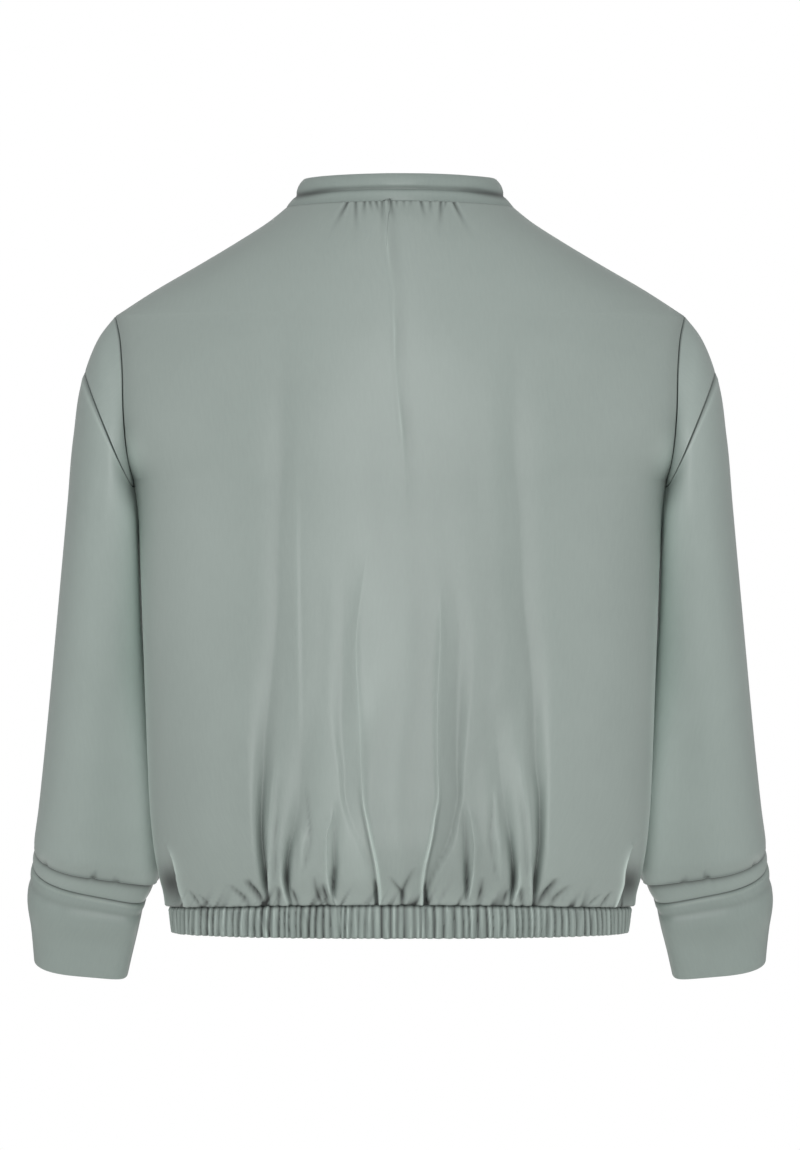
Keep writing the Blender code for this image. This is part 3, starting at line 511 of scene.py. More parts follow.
# Folds of the cloth. Each is a soft ridge (+) or trough (-) along a line given by stations, all in
# millimetres: the row's height, the distance from the middle, how far the fold stands out, and how wide its
# outer and its inner flank are. side is -1 left of the middle and +1 right of it; sharp 2 is a round fold
# and 1.2 a pressed one.
backFolds = {
    "left main": (-1, 1.6, (
        (-90, 101, 0, 16, 16), (-160, 104, -1.0, 16, 14), (-230, 103.5, -1.3, 16, 12),
        (-300, 106.5, -1.5, 15, 11), (-370, 108, -1.9, 14, 10), (-440, 115, -2.8, 12, 9),
        (-476, 119.5, -3.6, 9, 9), (-500, 121, -4.4, 7, 8), (-530, 123.2, -5.4, 5, 7),
        (-558, 124, -6.4, 3.8, 6), (-588, 122, -7.0, 3.4, 5), (-607, 119.5, -6.5, 3.2, 4),
        (-622, 116.5, -3.0, 2.6, 3))),
    "left main ridge": (-1, 1.5, (
        (-483, 106.6, 0, 3, 3), (-500, 109, 0.7, 2.5, 2.5), (-523, 112, 1.0, 2.2, 2.2),
        (-555, 113.8, 1.2, 2, 2), (-588, 115.2, 1.6, 2.2, 2), (-612, 116.2, 1.8, 2, 1.8),
        (-622, 116.5, 0.8, 1.5, 1.5))),
    "left main crease": (-1, 1.5, (
        (-505, 107, 0, 2, 2), (-523, 108.2, -0.6, 1.6, 1.6), (-547, 109.2, -0.9, 1.5, 1.5),
        (-572, 110, -1.0, 1.5, 1.5), (-592, 110, -0.9, 1.5, 1.5), (-606, 111, 0, 1.5, 1.5))),
    "left second": (-1, 1.6, (
        (-440, 84, 0, 14, 14), (-491, 86.3, -1.0, 13, 12), (-515, 87.5, -1.6, 11, 11),
        (-539, 90.2, -2.6, 9, 9), (-556, 94.1, -3.6, 7, 8), (-572, 98, -4.6, 4.5, 7),
        (-588, 100.4, -5.6, 3, 6), (-607, 101, -6.0, 2.6, 5), (-617, 99.8, -4.5, 2.4, 4),
        (-624, 96.5, -2.0, 2, 3))),
    "left second ridge": (-1, 1.4, (
        (-583, 104.6, 0, 1.6, 1.6), (-592, 104.8, 1.0, 1.4, 1.4), (-608, 103.8, 1.6, 1.4, 1.2),
        (-618, 101, 1.6, 1.3, 1.2), (-624, 98.5, 0.6, 1.2, 1.2))),
    "left second crease": (-1, 1.5, (
        (-515, 83, 0, 1.8, 1.8), (-528, 81.6, -0.6, 1.6, 1.6), (-552, 79.2, -1.0, 1.6, 1.6),
        (-572, 80, -1.0, 1.6, 1.6), (-592, 84.7, -0.7, 1.6, 1.6), (-603, 88, 0, 1.6, 1.6))),
    "left second lobe": (-1, 1.7, (
        (-552, 86.3, 0, 3, 3), (-572, 86.3, 1.2, 2.8, 2.8), (-590, 86.3, 1.4, 2.8, 2.8),
        (-607, 87.5, 0, 2.5, 2.5))),
    "left third": (-1, 1.3, (
        (-534, 57.5, 0, 3, 2), (-547, 60.5, 0.8, 3, 1.8), (-558, 63.6, 1.6, 4, 1.6),
        (-572, 64, 2.0, 4, 1.5), (-588, 63.9, 2.4, 4, 1.4), (-606, 62.8, 2.6, 3.5, 1.3),
        (-617, 60, 2.2, 3, 1.2), (-625, 56, 1.0, 2, 1.2))),
    "left third hollow": (-1, 1.5, (
        (-528, 57, 0, 3, 5), (-548, 57.3, -1.4, 2.5, 5), (-572, 58, -2.6, 2, 5), (-588, 58, -4.0, 1.8, 4.5),
        (-607, 59, -4.5, 1.8, 4), (-618, 59, -3.0, 1.6, 3), (-625, 57, -1.0, 1.5, 2))),
    "left fourth": (-1, 1.3, (
        (-294, 26, 0, 4, 4), (-340, 33, 0.4, 4, 4), (-380, 38, 0.8, 3.5, 3.5), (-464, 35.3, 1.0, 3.5, 3.5),
        (-513, 33.5, 1.1, 3, 3), (-530, 32.2, 1.3, 2.2, 2), (-548, 28.8, 1.7, 1.6, 1.4),
        (-568, 25.2, 2.1, 1.5, 1.2), (-588, 21.4, 2.3, 1.4, 1.2), (-606, 18.9, 2.3, 1.4, 1.2),
        (-618, 17.9, 1.8, 1.2, 1.1), (-626, 17.7, 0.7, 1.2, 1.1))),
    "left fourth foot": (-1, 1.6, (
        (-601, 22, 0, 1.2, 1.2), (-612, 20.8, -2.2, 1.4, 1.2), (-622, 20.3, -3.2, 2, 1.3),
        (-627, 20, -1.5, 1.8, 1.2))),
    "right main": (1, 1.6, (
        (-90, 102, 0, 16, 16), (-160, 102, -1.0, 16, 14), (-213, 100.3, -1.2, 16, 12),
        (-283, 105.6, -1.5, 15, 11), (-353, 109, -1.8, 14, 10), (-423, 116, -2.6, 12, 9),
        (-476, 119.3, -3.6, 8, 9), (-500, 120.8, -4.2, 7, 8), (-524, 123.9, -5.0, 5, 7.5),
        (-547, 124.7, -5.8, 3.8, 7), (-571, 124.5, -6.4, 3.4, 6), (-591, 122.5, -6.6, 3.2, 5),
        (-607, 120.5, -6.2, 3, 4), (-617, 119, -4.0, 2.6, 3), (-625, 117, -2.0, 2.4, 2.6))),
    "right main edge": (1, 1.6, (
        (-500, 129, 0, 3, 2), (-530, 129.3, 0.7, 3, 2), (-555, 129, 0.8, 3, 2), (-578, 128, 0, 3, 2))),
    "right main ridge": (1, 1.5, (
        (-480, 104, 0, 3, 3), (-499, 106.7, 0.7, 2.5, 2.5), (-516, 108.3, 1.0, 2.3, 2.3),
        (-540, 112.2, 1.2, 2, 2), (-572, 113.8, 1.3, 2, 2), (-600, 115, 1.6, 2, 2),
        (-615, 115.8, 1.6, 2, 1.8), (-625, 116.5, 0.6, 1.5, 1.5))),
    "right main crease": (1, 1.5, (
        (-513, 105.5, 0, 2, 2), (-532, 107.5, -0.7, 1.6, 1.6), (-565, 110.6, -1.0, 1.5, 1.5),
        (-588, 111.4, -0.9, 1.5, 1.5), (-603, 112, 0, 1.5, 1.5))),
    "right second": (1, 1.6, (
        (-440, 83, 0, 14, 14), (-480, 86, -1.0, 14, 12), (-505, 88, -1.8, 12, 11),
        (-530, 91.5, -2.6, 9, 10), (-552, 95.5, -3.6, 6.5, 9), (-573, 99, -5.0, 3.2, 7),
        (-588, 100.7, -5.8, 2.8, 6), (-603, 101.2, -6.0, 2.6, 5), (-613, 100.3, -4.8, 2.4, 4),
        (-624, 97.8, -2.0, 2, 3))),
    "right second ridge": (1, 1.4, (
        (-584, 105, 0, 1.6, 1.6), (-593, 105.1, 1.1, 1.4, 1.4), (-608, 104.6, 1.6, 1.4, 1.2),
        (-618, 101.5, 1.6, 1.3, 1.2), (-625, 98.6, 0.6, 1.2, 1.2))),
    "right second crease": (1, 1.5, (
        (-520, 81.5, 0, 1.8, 1.8), (-540, 80.9, -0.8, 1.6, 1.6), (-556, 79.6, -1.0, 1.6, 1.6),
        (-572, 80.1, -0.9, 1.6, 1.6), (-596, 84, -0.6, 1.6, 1.6), (-606, 86, 0, 1.6, 1.6))),
    "right second lobe": (1, 1.6, (
        (-512, 83.5, 0, 2.6, 2.2), (-530, 84.5, 0.8, 2.6, 2.2), (-545, 85.5, 0.6, 2.6, 2.2),
        (-572, 87, 1.1, 2.8, 2.4), (-587, 87, 1.2, 2.8, 2.4), (-604, 88, 0, 2.5, 2.4))),
    "right third": (1, 1.3, (
        (-538, 61.5, 0, 3, 2), (-558, 63.7, 1.6, 4, 1.6), (-568, 64.8, 2.0, 4, 1.5),
        (-585, 64.5, 2.3, 4, 1.4), (-606, 62.9, 2.5, 3.5, 1.3), (-617, 60.5, 2.1, 3, 1.2),
        (-625, 57.2, 0.9, 2, 1.2))),
    "right third hollow": (1, 1.5, (
        (-528, 56.5, 0, 3, 5), (-548, 57, -1.4, 2.5, 5), (-572, 58.6, -2.6, 2, 4.5),
        (-588, 59, -4.0, 1.8, 3.5), (-606, 59.2, -4.5, 1.8, 3), (-618, 59, -3.0, 1.6, 2.6),
        (-625, 57.4, -1.0, 1.5, 2))),
    "right fourth": (1, 1.3, (
        (-345, 35.5, 0, 3, 3), (-380, 35.5, 0.6, 3, 3), (-454, 32.8, 0.9, 3, 3),
        (-500, 33.1, 1.0, 2.6, 2.6), (-529, 33.5, 1.2, 1.6, 2), (-545, 30.5, 1.6, 1.3, 1.6),
        (-560, 28.5, 2.0, 1.3, 1.6), (-576, 25.2, 2.2, 1.2, 1.5), (-595, 21.4, 2.3, 1.2, 1.4),
        (-610, 19.9, 2.2, 1.2, 1.4), (-620, 19.6, 1.8, 1.1, 1.2), (-626, 19.5, 0.7, 1.1, 1.2))),
    "right fourth foot": (1, 1.6, (
        (-603, 21.5, 0, 1.2, 1.2), (-613, 21.5, -2.0, 1.4, 1.2), (-622, 22, -3.2, 2, 1.3),
        (-627, 22, -1.5, 1.8, 1.2))),
    "left wedge": (-1, 1.5, (
        (-601, 134.5, 0, 2, 1.5), (-606, 133.5, -1.8, 2.5, 1.5), (-613, 128.5, -3.2, 3, 1.6),
        (-620, 123.5, -2.6, 3, 1.6), (-625, 121, -1.0, 2, 1.5))),
    "left outer wedge": (-1, 1.5, (
        (-606, 151, 0, 2, 1.2), (-612, 145, -1.0, 2, 1.2), (-618, 138.5, -1.6, 2, 1.2),
        (-624, 133.5, -0.8, 2, 1.2))),
    "left nip": (-1, 1.5, (
        (-598, 76, 0, 1.6, 1.4), (-608, 74, -1.0, 1.6, 1.4), (-616, 72, -2.0, 1.6, 1.2),
        (-625, 69.5, -1.0, 1.4, 1.2))),
    "left inner nip": (-1, 1.5, (
        (-605, 67.5, 0, 1.2, 1.2), (-614, 66.5, -1.6, 1.2, 1.2), (-625, 63.5, -1.2, 1.2, 1.2))),
    "left foot nip": (-1, 1.6, (
        (-608, 107.5, 0, 1.8, 1.8), (-616, 106.8, -1.8, 1.8, 1.8), (-625, 107, -1.4, 1.8, 1.8))),
    "left low nip": (-1, 1.5, (
        (-610, 96.5, 0, 1.4, 1), (-617, 93, -1.4, 1.4, 1), (-624, 90, -0.8, 1.4, 1))),
    "right wedge": (1, 1.5, (
        (-600, 136.5, 0, 2, 1.5), (-605, 135.2, -1.8, 2.5, 1.5), (-613, 130, -3.2, 3, 1.6),
        (-620, 125.5, -2.6, 3, 1.6), (-625, 122.5, -1.0, 2, 1.5))),
    "right outer wedge": (1, 1.5, (
        (-606, 149.5, 0, 2, 1.2), (-612, 144, -1.0, 2, 1.2), (-618, 137.5, -1.6, 2, 1.2),
        (-624, 133, -0.8, 2, 1.2))),
    "right nip": (1, 1.5, (
        (-600, 72.8, 0, 1.5, 1.3), (-609, 71.5, -1.0, 1.5, 1.3), (-617, 70.5, -1.8, 1.5, 1.2),
        (-625, 69, -1.0, 1.4, 1.2))),
    "right foot nip": (1, 1.6, (
        (-609, 107.2, 0, 1.8, 1.8), (-617, 106.7, -1.8, 1.8, 1.8), (-625, 107.3, -1.3, 1.8, 1.8))),
    "right low nip": (1, 1.5, (
        (-611, 95.5, 0, 1.4, 1), (-618, 92.5, -1.3, 1.4, 1), (-624, 90, -0.8, 1.4, 1))),
    "middle nip left": (-1, 1.4, (
        (-599, 9.5, 0, 1.4, 1.4), (-606, 5.5, -0.7, 1.3, 1.3), (-616, -1.5, -1.3, 1.3, 1.3),
        (-625, -2.5, -0.8, 1.3, 1.3))),
    "middle nip right": (1, 1.4, (
        (-591, 13, 0, 1.4, 1.4), (-600, 8.5, -0.7, 1.3, 1.3), (-615, 2.5, -1.3, 1.3, 1.3),
        (-625, 1.0, -0.8, 1.3, 1.3))),
    "left dent rim": (-1, 1.3, (
        (-556, 217, 0, 2, 6), (-566, 212.4, 0.8, 1.8, 6), (-573, 205.1, 1.4, 1.6, 6),
        (-582, 200.4, 1.8, 1.5, 6), (-595, 197.2, 2.2, 1.5, 6), (-607, 195.4, 2.4, 1.5, 5),
        (-619, 191, 2.0, 1.4, 4), (-626, 188, 0.8, 1.4, 3))),
    "right dent rim": (1, 1.3, (
        (-556, 217, 0, 2, 6), (-566, 212.4, 0.8, 1.8, 6), (-572, 205.1, 1.4, 1.6, 6),
        (-581, 201, 1.8, 1.5, 6), (-593, 198, 2.2, 1.5, 6), (-607, 196.8, 2.4, 1.5, 5),
        (-617, 193.6, 2.0, 1.4, 4), (-626, 189.5, 0.8, 1.4, 3))),
    "left side nips": (-1, 1.4, (
        (-611, 187, 0, 1.6, 1.3), (-618, 182, -1.3, 1.6, 1.3), (-626, 175, -0.8, 1.5, 1.3))),
    "left side nip low": (-1, 1.4, (
        (-614, 179, 0, 1.6, 1.3), (-620, 173, -1.0, 1.6, 1.3), (-626, 166, -0.7, 1.5, 1.3))),
    "right side nips": (1, 1.4, (
        (-612, 188, 0, 1.6, 1.3), (-618, 183, -1.3, 1.6, 1.3), (-626, 176, -0.8, 1.5, 1.3))),
    "right side nip low": (1, 1.4, (
        (-614, 178, 0, 1.6, 1.3), (-620, 171, -1.0, 1.6, 1.3), (-626, 164, -0.7, 1.5, 1.3))),
    "upper ridge left": (-1, 1.6, (
        (-200, 91, 0, 3, 3), (-300, 91, 0.4, 2.5, 2), (-400, 89.5, 0.5, 2.5, 2), (-480, 88, 0, 2.5, 2))),
}
# One-sided folds: from a crest the cloth falls evenly outwards to a valley and then rises sharply. Stations
# give the row's height, the crest's and the valley's distance from the middle, and the fall.
backFalls = (
    (-1, (
        (-260, 26, 44, 0), (-300, 28, 47, 0.5), (-380, 38, 50.5, 1.2), (-440, 36, 51.5, 1.6),
        (-476, 33.5, 51.5, 1.9), (-500, 32.6, 49.8, 2.0), (-530, 32.3, 48.5, 1.8), (-550, 28.8, 43, 1.2),
        (-570, 24.6, 34, 0.8), (-590, 20.8, 27, 0.7), (-607, 18.9, 23, 0.7), (-624, 17.9, 21, 0.5))),
    (1, (
        (-290, 34, 46, 0), (-340, 34.5, 48, 0.8), (-380, 35.5, 53, 1.6), (-414, 34, 52.3, 2.2),
        (-454, 32.8, 51.5, 2.8), (-476, 33.1, 51.2, 3.2), (-500, 33.2, 51.2, 3.4), (-529, 33.5, 51.6, 3.6),
        (-545, 30.5, 49, 3.6), (-560, 28.3, 46, 3.6), (-575, 25.3, 41, 3.4), (-593, 21.6, 32, 3.2),
        (-610, 19.9, 25.5, 3.0), (-624, 19.5, 22.5, 1.6))),
)
frontFolds = {
    "main": (1, 1.7, (
        (-200, 100, 0, 16, 16), (-300, 104, -1.2, 15, 13), (-400, 108, -2.2, 12, 10),
        (-476, 111, -3.4, 9, 8), (-530, 113, -5.0, 5, 7), (-558, 112, -6.2, 4, 6),
        (-588, 110, -6.4, 3.4, 5), (-607, 108, -5.8, 3.2, 4), (-622, 105, -2.6, 2.6, 3))),
    "main ridge": (1, 1.5, (
        (-490, 100, 0, 3, 3), (-520, 102, 1.0, 2.6, 2.4), (-560, 103.5, 1.4, 2.2, 2.2),
        (-600, 104, 1.6, 2, 2), (-622, 104, 0.7, 1.6, 1.6))),
    "second": (1, 1.6, (
        (-380, 60, 0, 12, 12), (-460, 58, -1.4, 11, 9), (-520, 56, -2.4, 8, 6), (-565, 55, -4.2, 4, 4.5),
        (-600, 53.5, -5.0, 3, 3.6), (-622, 52, -2.0, 2.4, 3))),
    "second ridge": (1, 1.35, (
        (-480, 49, 0, 3, 4), (-530, 47, 1.2, 2.2, 4), (-575, 45, 2.0, 1.6, 3.6), (-605, 44, 2.0, 1.5, 3),
        (-625, 43, 0.8, 1.4, 2))),
    "third": (1, 1.35, (
        (-500, 76, 0, 5, 3), (-540, 80, 1.2, 4, 1.8), (-580, 82, 2.0, 3.6, 1.5), (-608, 79, 1.8, 3, 1.4),
        (-625, 76, 0.7, 2, 1.3))),
    "outer": (1, 1.7, (
        (-440, 150, 0, 13, 13), (-500, 152, -1.2, 11, 10), (-550, 153, -2.4, 6, 7),
        (-590, 152, -3.8, 4, 4.5), (-610, 151, -3.6, 3.4, 4), (-624, 149, -1.6, 2.6, 3))),
    "inner": (1, 1.4, (
        (-470, 21, 0, 5, 4), (-530, 22, 0.9, 4, 2.4), (-580, 24.5, 1.6, 3, 1.8),
        (-610, 27.5, 1.5, 2.6, 1.6), (-626, 29, 0.6, 2, 1.4))),
    "wedge": (1, 1.5, (
        (-596, 127, 0, 3, 3), (-606, 124, -1.1, 3.2, 2.8), (-616, 119, -1.6, 3.2, 2.6),
        (-625, 115, -0.7, 3, 2.4))),
    "nip": (1, 1.5, ((-600, 92.5, 0, 1.6, 1.4), (-612, 90.5, -1.5, 1.6, 1.3), (-625, 88, -1.0, 1.4, 1.2))),
    "low nip": (1, 1.5, (
        (-607, 66, 0, 1.5, 1.3), (-616, 64.5, -1.5, 1.5, 1.3), (-625, 63, -1.0, 1.4, 1.2))),
    "side nip": (1, 1.5, ((-608, 171, 0, 2, 1.4), (-617, 167, -1.4, 2, 1.4), (-626, 163, -0.9, 1.6, 1.3))),
    "near nip": (1, 1.5, ((-606, 37, 0, 1.5, 1.3), (-616, 36, -1.4, 1.5, 1.3), (-625, 35, -1.0, 1.4, 1.2))),
    "dent rim": (1, 1.3, (
        (-556, 217, 0, 2, 6), (-568, 211, 0.9, 1.8, 6), (-578, 203, 1.6, 1.6, 6), (-592, 199, 2.0, 1.5, 6),
        (-607, 197, 2.2, 1.5, 5), (-619, 192, 1.8, 1.4, 4), (-626, 189, 0.8, 1.4, 3))),
}


# A fold's stations as smooth columns over the rows' heights, held at their first and last values.
def stationsAt(stations, z):
    table = np.array(stations, float) * mm
    at = np.clip(z, table[-1, 0], table[0, 0])
    return smoothThrough(table[:, 0], table[:, 1:], at).T


# The line of a fold, as a function of the rows' heights.
def foldLine(fold):
    return lambda z: fold[0] * stationsAt(fold[2], z)[0]


# What a fold is drawn with: how much its stations' height is raised, how much narrower it gets towards the
# hem, the least width of a wedge, of a nip and of a painted shade, and how dark the painted shade in a trough
# and how light the painted highlight on a ridge gets.
foldLook = {"raise": 1.5, "narrowing": 0.25, "narrowFrom": (-0.48, -0.57), "wedge": 3.2 * mm, "nip": 2.1 * mm,
            "shadeWidth": 1.9 * mm, "shade": 0.7, "darkest": -0.50, "lightest": 0.9, "footShade": 0.9,
            "footFrom": (-0.585, -0.610), "shadeFall": 1.5}


# The sum of the folds at every point of a panel: height times a bell of the distance, with its own width on
# each flank. The crease value, painted shade along a trough and a painted highlight along a ridge, follows a
# narrower bell, as strong as the fold is steep and stronger at its foot.
def foldRelief(section, points, folds, swell=1.0):
    look = foldLook
    z = section["z"]
    relief, crease = np.zeros((2,) + points.shape[:2])
    for name, (side, sharp, stations) in folds.items():
        x, height, outer, inner = stationsAt(stations, z)
        away = rowDistance(section, points, side * x) * side
        width = np.where(away > 0, outer[:, None], inner[:, None])
        width = width * (1 - look["narrowing"] * ramp(*look["narrowFrom"], z))[:, None]
        for kind in ("wedge", "nip"):
            if kind in name:
                width = np.maximum(width, look[kind])
        relief += swell * look["raise"] * height[:, None] * bell(away, width, sharp)
        steep = np.clip(look["shade"] * height / (outer + inner), look["darkest"], look["lightest"])
        steep = steep * (1 + look["footShade"] * ramp(*look["footFrom"], z))
        shadeWidth = np.maximum(width, look["shadeWidth"])
        crease += steep[:, None] * np.exp(-look["shadeFall"] * np.abs(away / shadeWidth) ** sharp)
    return relief, crease


# How a one-sided fold is drawn: how much its fall is raised and where it grows, where its crest gets pressed,
# how soon it is back beyond the valley near the hem, how much later higher up, and its painted shades and
# painted highlight.
fallLook = {"raise": 1.15, "grows": (-0.26, -0.50), "pressed": (-0.50, -0.575), "back": 3 * mm,
            "laterBack": 13 * mm, "laterFrom": (-0.54, -0.42), "shade": 0.6, "edge": 0.9 * mm,
            "outerShade": 0.45, "outerAt": 2.2 * mm, "outerWidth": 1.4 * mm}


# From the crest the relief falls as a power of the distance to -fall at the valley and is soon back at 0
# beyond it, less soon higher up, where the fold is only a soft wave. The slope gets a little painted shade,
# and near the hem the crest is a pressed edge with a painted highlight and a thin painted shade outside it.
def fallRelief(section, points, falls):
    look = fallLook
    z = section["z"]
    relief, crease = np.zeros((2,) + points.shape[:2])
    grown = ramp(*look["grows"], z)
    pressed = (ramp(*look["pressed"], z) * ramp(hemZ, hemZ + 4 * mm, z))[:, None]
    back = (look["back"] + look["laterBack"] * ramp(*look["laterFrom"], z))[:, None]
    for side, stations in falls:
        crest, valley, fall = stationsAt(stations, z)
        run = np.maximum(valley - crest, 2 * mm)[:, None]
        away = rowDistance(section, points, side * crest) * side
        shape = np.clip(away / run, 0, 1) ** 1.2 * (1 - ramp(run - 0.2 * back, run + 0.8 * back, away))
        fall = (fall * grown)[:, None]
        relief -= look["raise"] * fall * shape
        crease -= look["shade"] * fall / run * shape
        edge = bell(away + 0.5 * mm, look["edge"], 1.6)
        outer = bell(away - look["outerAt"], look["outerWidth"], 1.6)
        crease += pressed * (edge - look["outerShade"] * outer)
    return relief, crease


# Soft upright waves between the main folds, where the gathered hem draws the cloth in: two waves of uneven
# spacing that wander sideways and pass into each other down the panel, deepest above the hem and only within
# the gathered middle.
drape = {"spacing": (15 * mm, 29 * mm), "height": (0.35 * mm, 1.15 * mm), "wander": 9 * mm,
         "wanderLength": 0.13, "blendLength": 0.10, "reach": (0.10, 0.16), "upper": (-0.14, -0.26),
         "lower": (-0.26, -0.52), "shade": 0.10}


def drapeRelief(section, points, seed, share=1.0):
    z = section["z"]
    middle = rowDistance(section, points, np.zeros_like(z))
    wander = lineNoise(seed, z, drape["wanderLength"]) - lineNoise(seed, z[-1:], drape["wanderLength"])
    wander = drape["wander"] * wander
    across = middle + wander[:, None]
    fine, broad = drape["spacing"]
    blend = (0.5 + 0.5 * lineNoise(seed + 1, z, drape["blendLength"]))[:, None]
    wave = blend * lineNoise(seed + 2, across, fine) + (1 - blend) * lineNoise(seed + 3, across, fine * 1.3)
    wave = 0.55 * wave + 0.75 * lineNoise(seed + 4, across + 2 * wander[:, None], broad)
    low, high = drape["height"]
    tall = low * ramp(*drape["upper"], z) + (high - low) * ramp(*drape["lower"], z)
    tall = tall * ramp(hemZ, hemZ + 0.03, z)
    gathered = 1 - 0.85 * ramp(*drape["reach"], np.abs(points[..., 0]))
    relief = share * tall[:, None] * gathered * wave
    # Painted shade in the troughs of the waves and a painted highlight on their crests, in step with the
    # relief.
    return relief, drape["shade"] * relief / high


# Gathers under the collar: distance from the middle at the seam, how far it slants outwards for each
# millimetre down, length, depth and width in millimetres. Each is a trough that widens and fades downwards.
neckGathers = (
    (-46.5, -0.52, 19, 1.7, 1.7), (-39.5, 0.02, 24, 1.2, 1.5), (-31.5, -0.04, 12, 1.2, 1.4),
    (-27.0, 0.25, 8, 1.3, 1.2), (-21.5, 0.3, 12, 1.2, 1.3), (-16.0, 0.05, 22, 1.1, 1.5),
    (-9.0, 0.22, 15, 1.4, 1.5), (-3.0, -0.05, 8, 0.9, 1.2), (3.0, 0.1, 7, 0.9, 1.2),
    (9.5, 0.0, 6, 0.8, 1.2), (18.5, 0.25, 13, 1.4, 1.4), (27.0, 0.02, 11, 0.9, 1.3),
    (36.5, -0.05, 20, 1.3, 1.6), (41.0, -0.3, 10, 0.9, 1.2), (47.5, 0.5, 20, 1.7, 1.7),
)
gatherLook = {"length": 0.85, "lip": 0.35, "lipAt": 1.9, "lipShine": 0.10, "shade": 0.50, "seamShade": 0.35}


# A gather is a bell-shaped trough with a low lip on both sides, at its full depth just below the seam. Its
# trough gets painted shade, its lips a faint painted highlight, and a painted shade runs along the seam.
def gatherRelief(section, points, gathers):
    look = gatherLook
    below = -section["z"]
    relief, crease = np.zeros((2,) + points.shape[:2])
    for seamX, slant, length, depth, width in gathers:
        share = below / (look["length"] * length * mm)
        tall = (depth * mm * np.exp(-share ** 1.5 * 1.6) * ramp(0, 1.2 * mm, below))[:, None]
        path = seamX * mm + slant * below
        spread = width * mm * (0.8 + 0.7 * np.minimum(share, 1.5))
        away = rowDistance(section, points, path) / spread[:, None]
        trough = tall * bell(away, 1, 1.6)
        lips = tall * bell(np.abs(away) - look["lipAt"], 1)
        relief += look["lip"] * lips - trough
        crease += (look["lipShine"] * lips - look["shade"] * trough) / mm
    crease -= look["seamShade"] * bell(below, 1.2 * mm)[:, None]
    return relief, crease


panel = {
    "cloth": 0.9 * mm,
    "roll": 1.3 * mm,
    "drape": {"back": 1.15, "front": 0.8},
    "leftFrontSwell": 0.86,
    "blouse": 2.6 * mm,
    "blouseHeight": 9 * mm,
    "seamSink": 1.1 * mm,
    "seamSinkWidth": 9 * mm,
    # Painted shade beside the seams and painted light down the sides.
    "seamShade": 0.16,
    "sideShine": 1.00,
    "sideShineWidth": 20 * mm,
    "sideShineFrom": (-0.195, -0.235),
}


# Row heights, closest at the neck seam, beside the armhole and above the hem.
def panelHeights():
    neck = neckZ - 26 * mm * np.linspace(0, 1, 19) ** 1.15
    shoulder = np.linspace(-26 * mm, armhole["top"], 14)[1:]
    side = armholeMiddle + armholeReach * np.cos(np.linspace(0, math.pi, 33))[1:]
    waist = np.linspace(armhole["bottom"], -0.50, 43)[1:]
    lower = np.linspace(-0.50, -0.575, 25)[1:]
    hem = np.linspace(-0.575, hemZ, 41)[1:]
    return np.concatenate((neck, shoulder, side, waist, lower, hem))


# The soft crease down the middle of the upper back: its height in metres, its place in millimetres.
centreCrease = ((0.0, -14.0), (-0.020, -13.0), (-0.048, -10.6), (-0.080, -6.2), (-0.108, -5.2),
                (-0.143, -4.4), (-0.178, -1.3), (-0.213, 2.2), (-0.244, 4.4), (-0.30, 4.5),
                (-0.40, 2.0), (-0.50, 0.0), (-0.6275, 0.0))
centreLook = {"ridge": 0.55 * mm, "trough": 0.35 * mm, "shine": 0.22, "shade": 0.10}


def centreLine(z):
    table = np.array(centreCrease)
    return smoothThrough(table[:, 0], table[:, 1] * mm, z)


# A low soft ridge down the middle of the upper back, with a shallower trough beside it. Both fade above the
# waist and vary as the square of a sine down their length. The ridge gets a painted highlight and the trough
# a painted shade.
def centreRelief(section, points):
    z = section["z"]
    along = rowDistance(section, points, centreLine(z))
    tall = (ramp(0, -0.012, z) * ramp(-0.30, -0.20, z) * (0.55 + 0.45 * np.sin(z * 40) ** 2))[:, None]
    ridge, trough = tall * bell(along, 2.6 * mm, 1.5), tall * bell(along - 6 * mm, 5 * mm)
    return (centreLook["ridge"] * ridge - centreLook["trough"] * trough,
            centreLook["shine"] * ridge ** 3 - centreLook["shade"] * trough)


ripple = {"height": 0.55 * mm, "spacing": (3.4 * mm, 7.5 * mm), "reach": 5.5 * mm, "seamShade": (0.82, 0.35),
          "seamWidth": (1.5 * mm, 0.7 * mm), "nipShade": 1.8, "nipFrom": 0.25, "nipReach": 5.4 * mm}


# Fine ripples that fade upwards from the hem seam. The seam itself gets a dark painted shade line of uneven
# width, and a thin painted shade stands in each deeper trough.
def hemRipples(section, points, seed):
    look = ripple
    above = (section["z"] - hemZ)[:, None]
    arc = runAlong(points[..., :2], 1)
    fine, broad = look["spacing"]
    wave = lineNoise(seed, arc, fine) + 0.6 * lineNoise(seed + 1, arc + 0.4 * above, broad)
    fade = np.exp(-above / look["reach"]) * ramp(0, 1.5 * mm, above)
    even, uneven = look["seamWidth"]
    width = even + uneven * lineNoise(seed + 2, arc, 2.4 * mm)
    dark, change = look["seamShade"]
    seam = (dark + change * lineNoise(seed + 3, arc, 7 * mm)) * bell(above, width)
    nips = look["nipShade"] * np.maximum(-wave - look["nipFrom"], 0) * np.exp(-above / look["nipReach"])
    return look["height"] * wave * fade, -seam - nips


# How far the cloth stands out over the band: a bell curve that ends on the hem seam.
def blouse(z):
    above = (z - hemZ)[:, None]
    return panel["blouse"] * bell(above, panel["blouseHeight"]) * ramp(0, 2 * mm, above)


dent = {"z": -0.607, "height": 17 * mm, "depth": 6.5 * mm, "middle": 14 * mm, "width": 10 * mm,
        "shade": 0.90, "rimShine": 1.2, "rimWidth": 1.6 * mm, "rimTop": -0.572}


# Where the pressed rim of the side hollow lies, and above it the grid line that leads down to it.
def rimLine(z):
    rim = foldLine(backFolds["right dent rim"])(z)
    return np.where(z > dent["rimTop"], 0.196 + 0.0091 * ramp(-0.50, dent["rimTop"], z), rim)
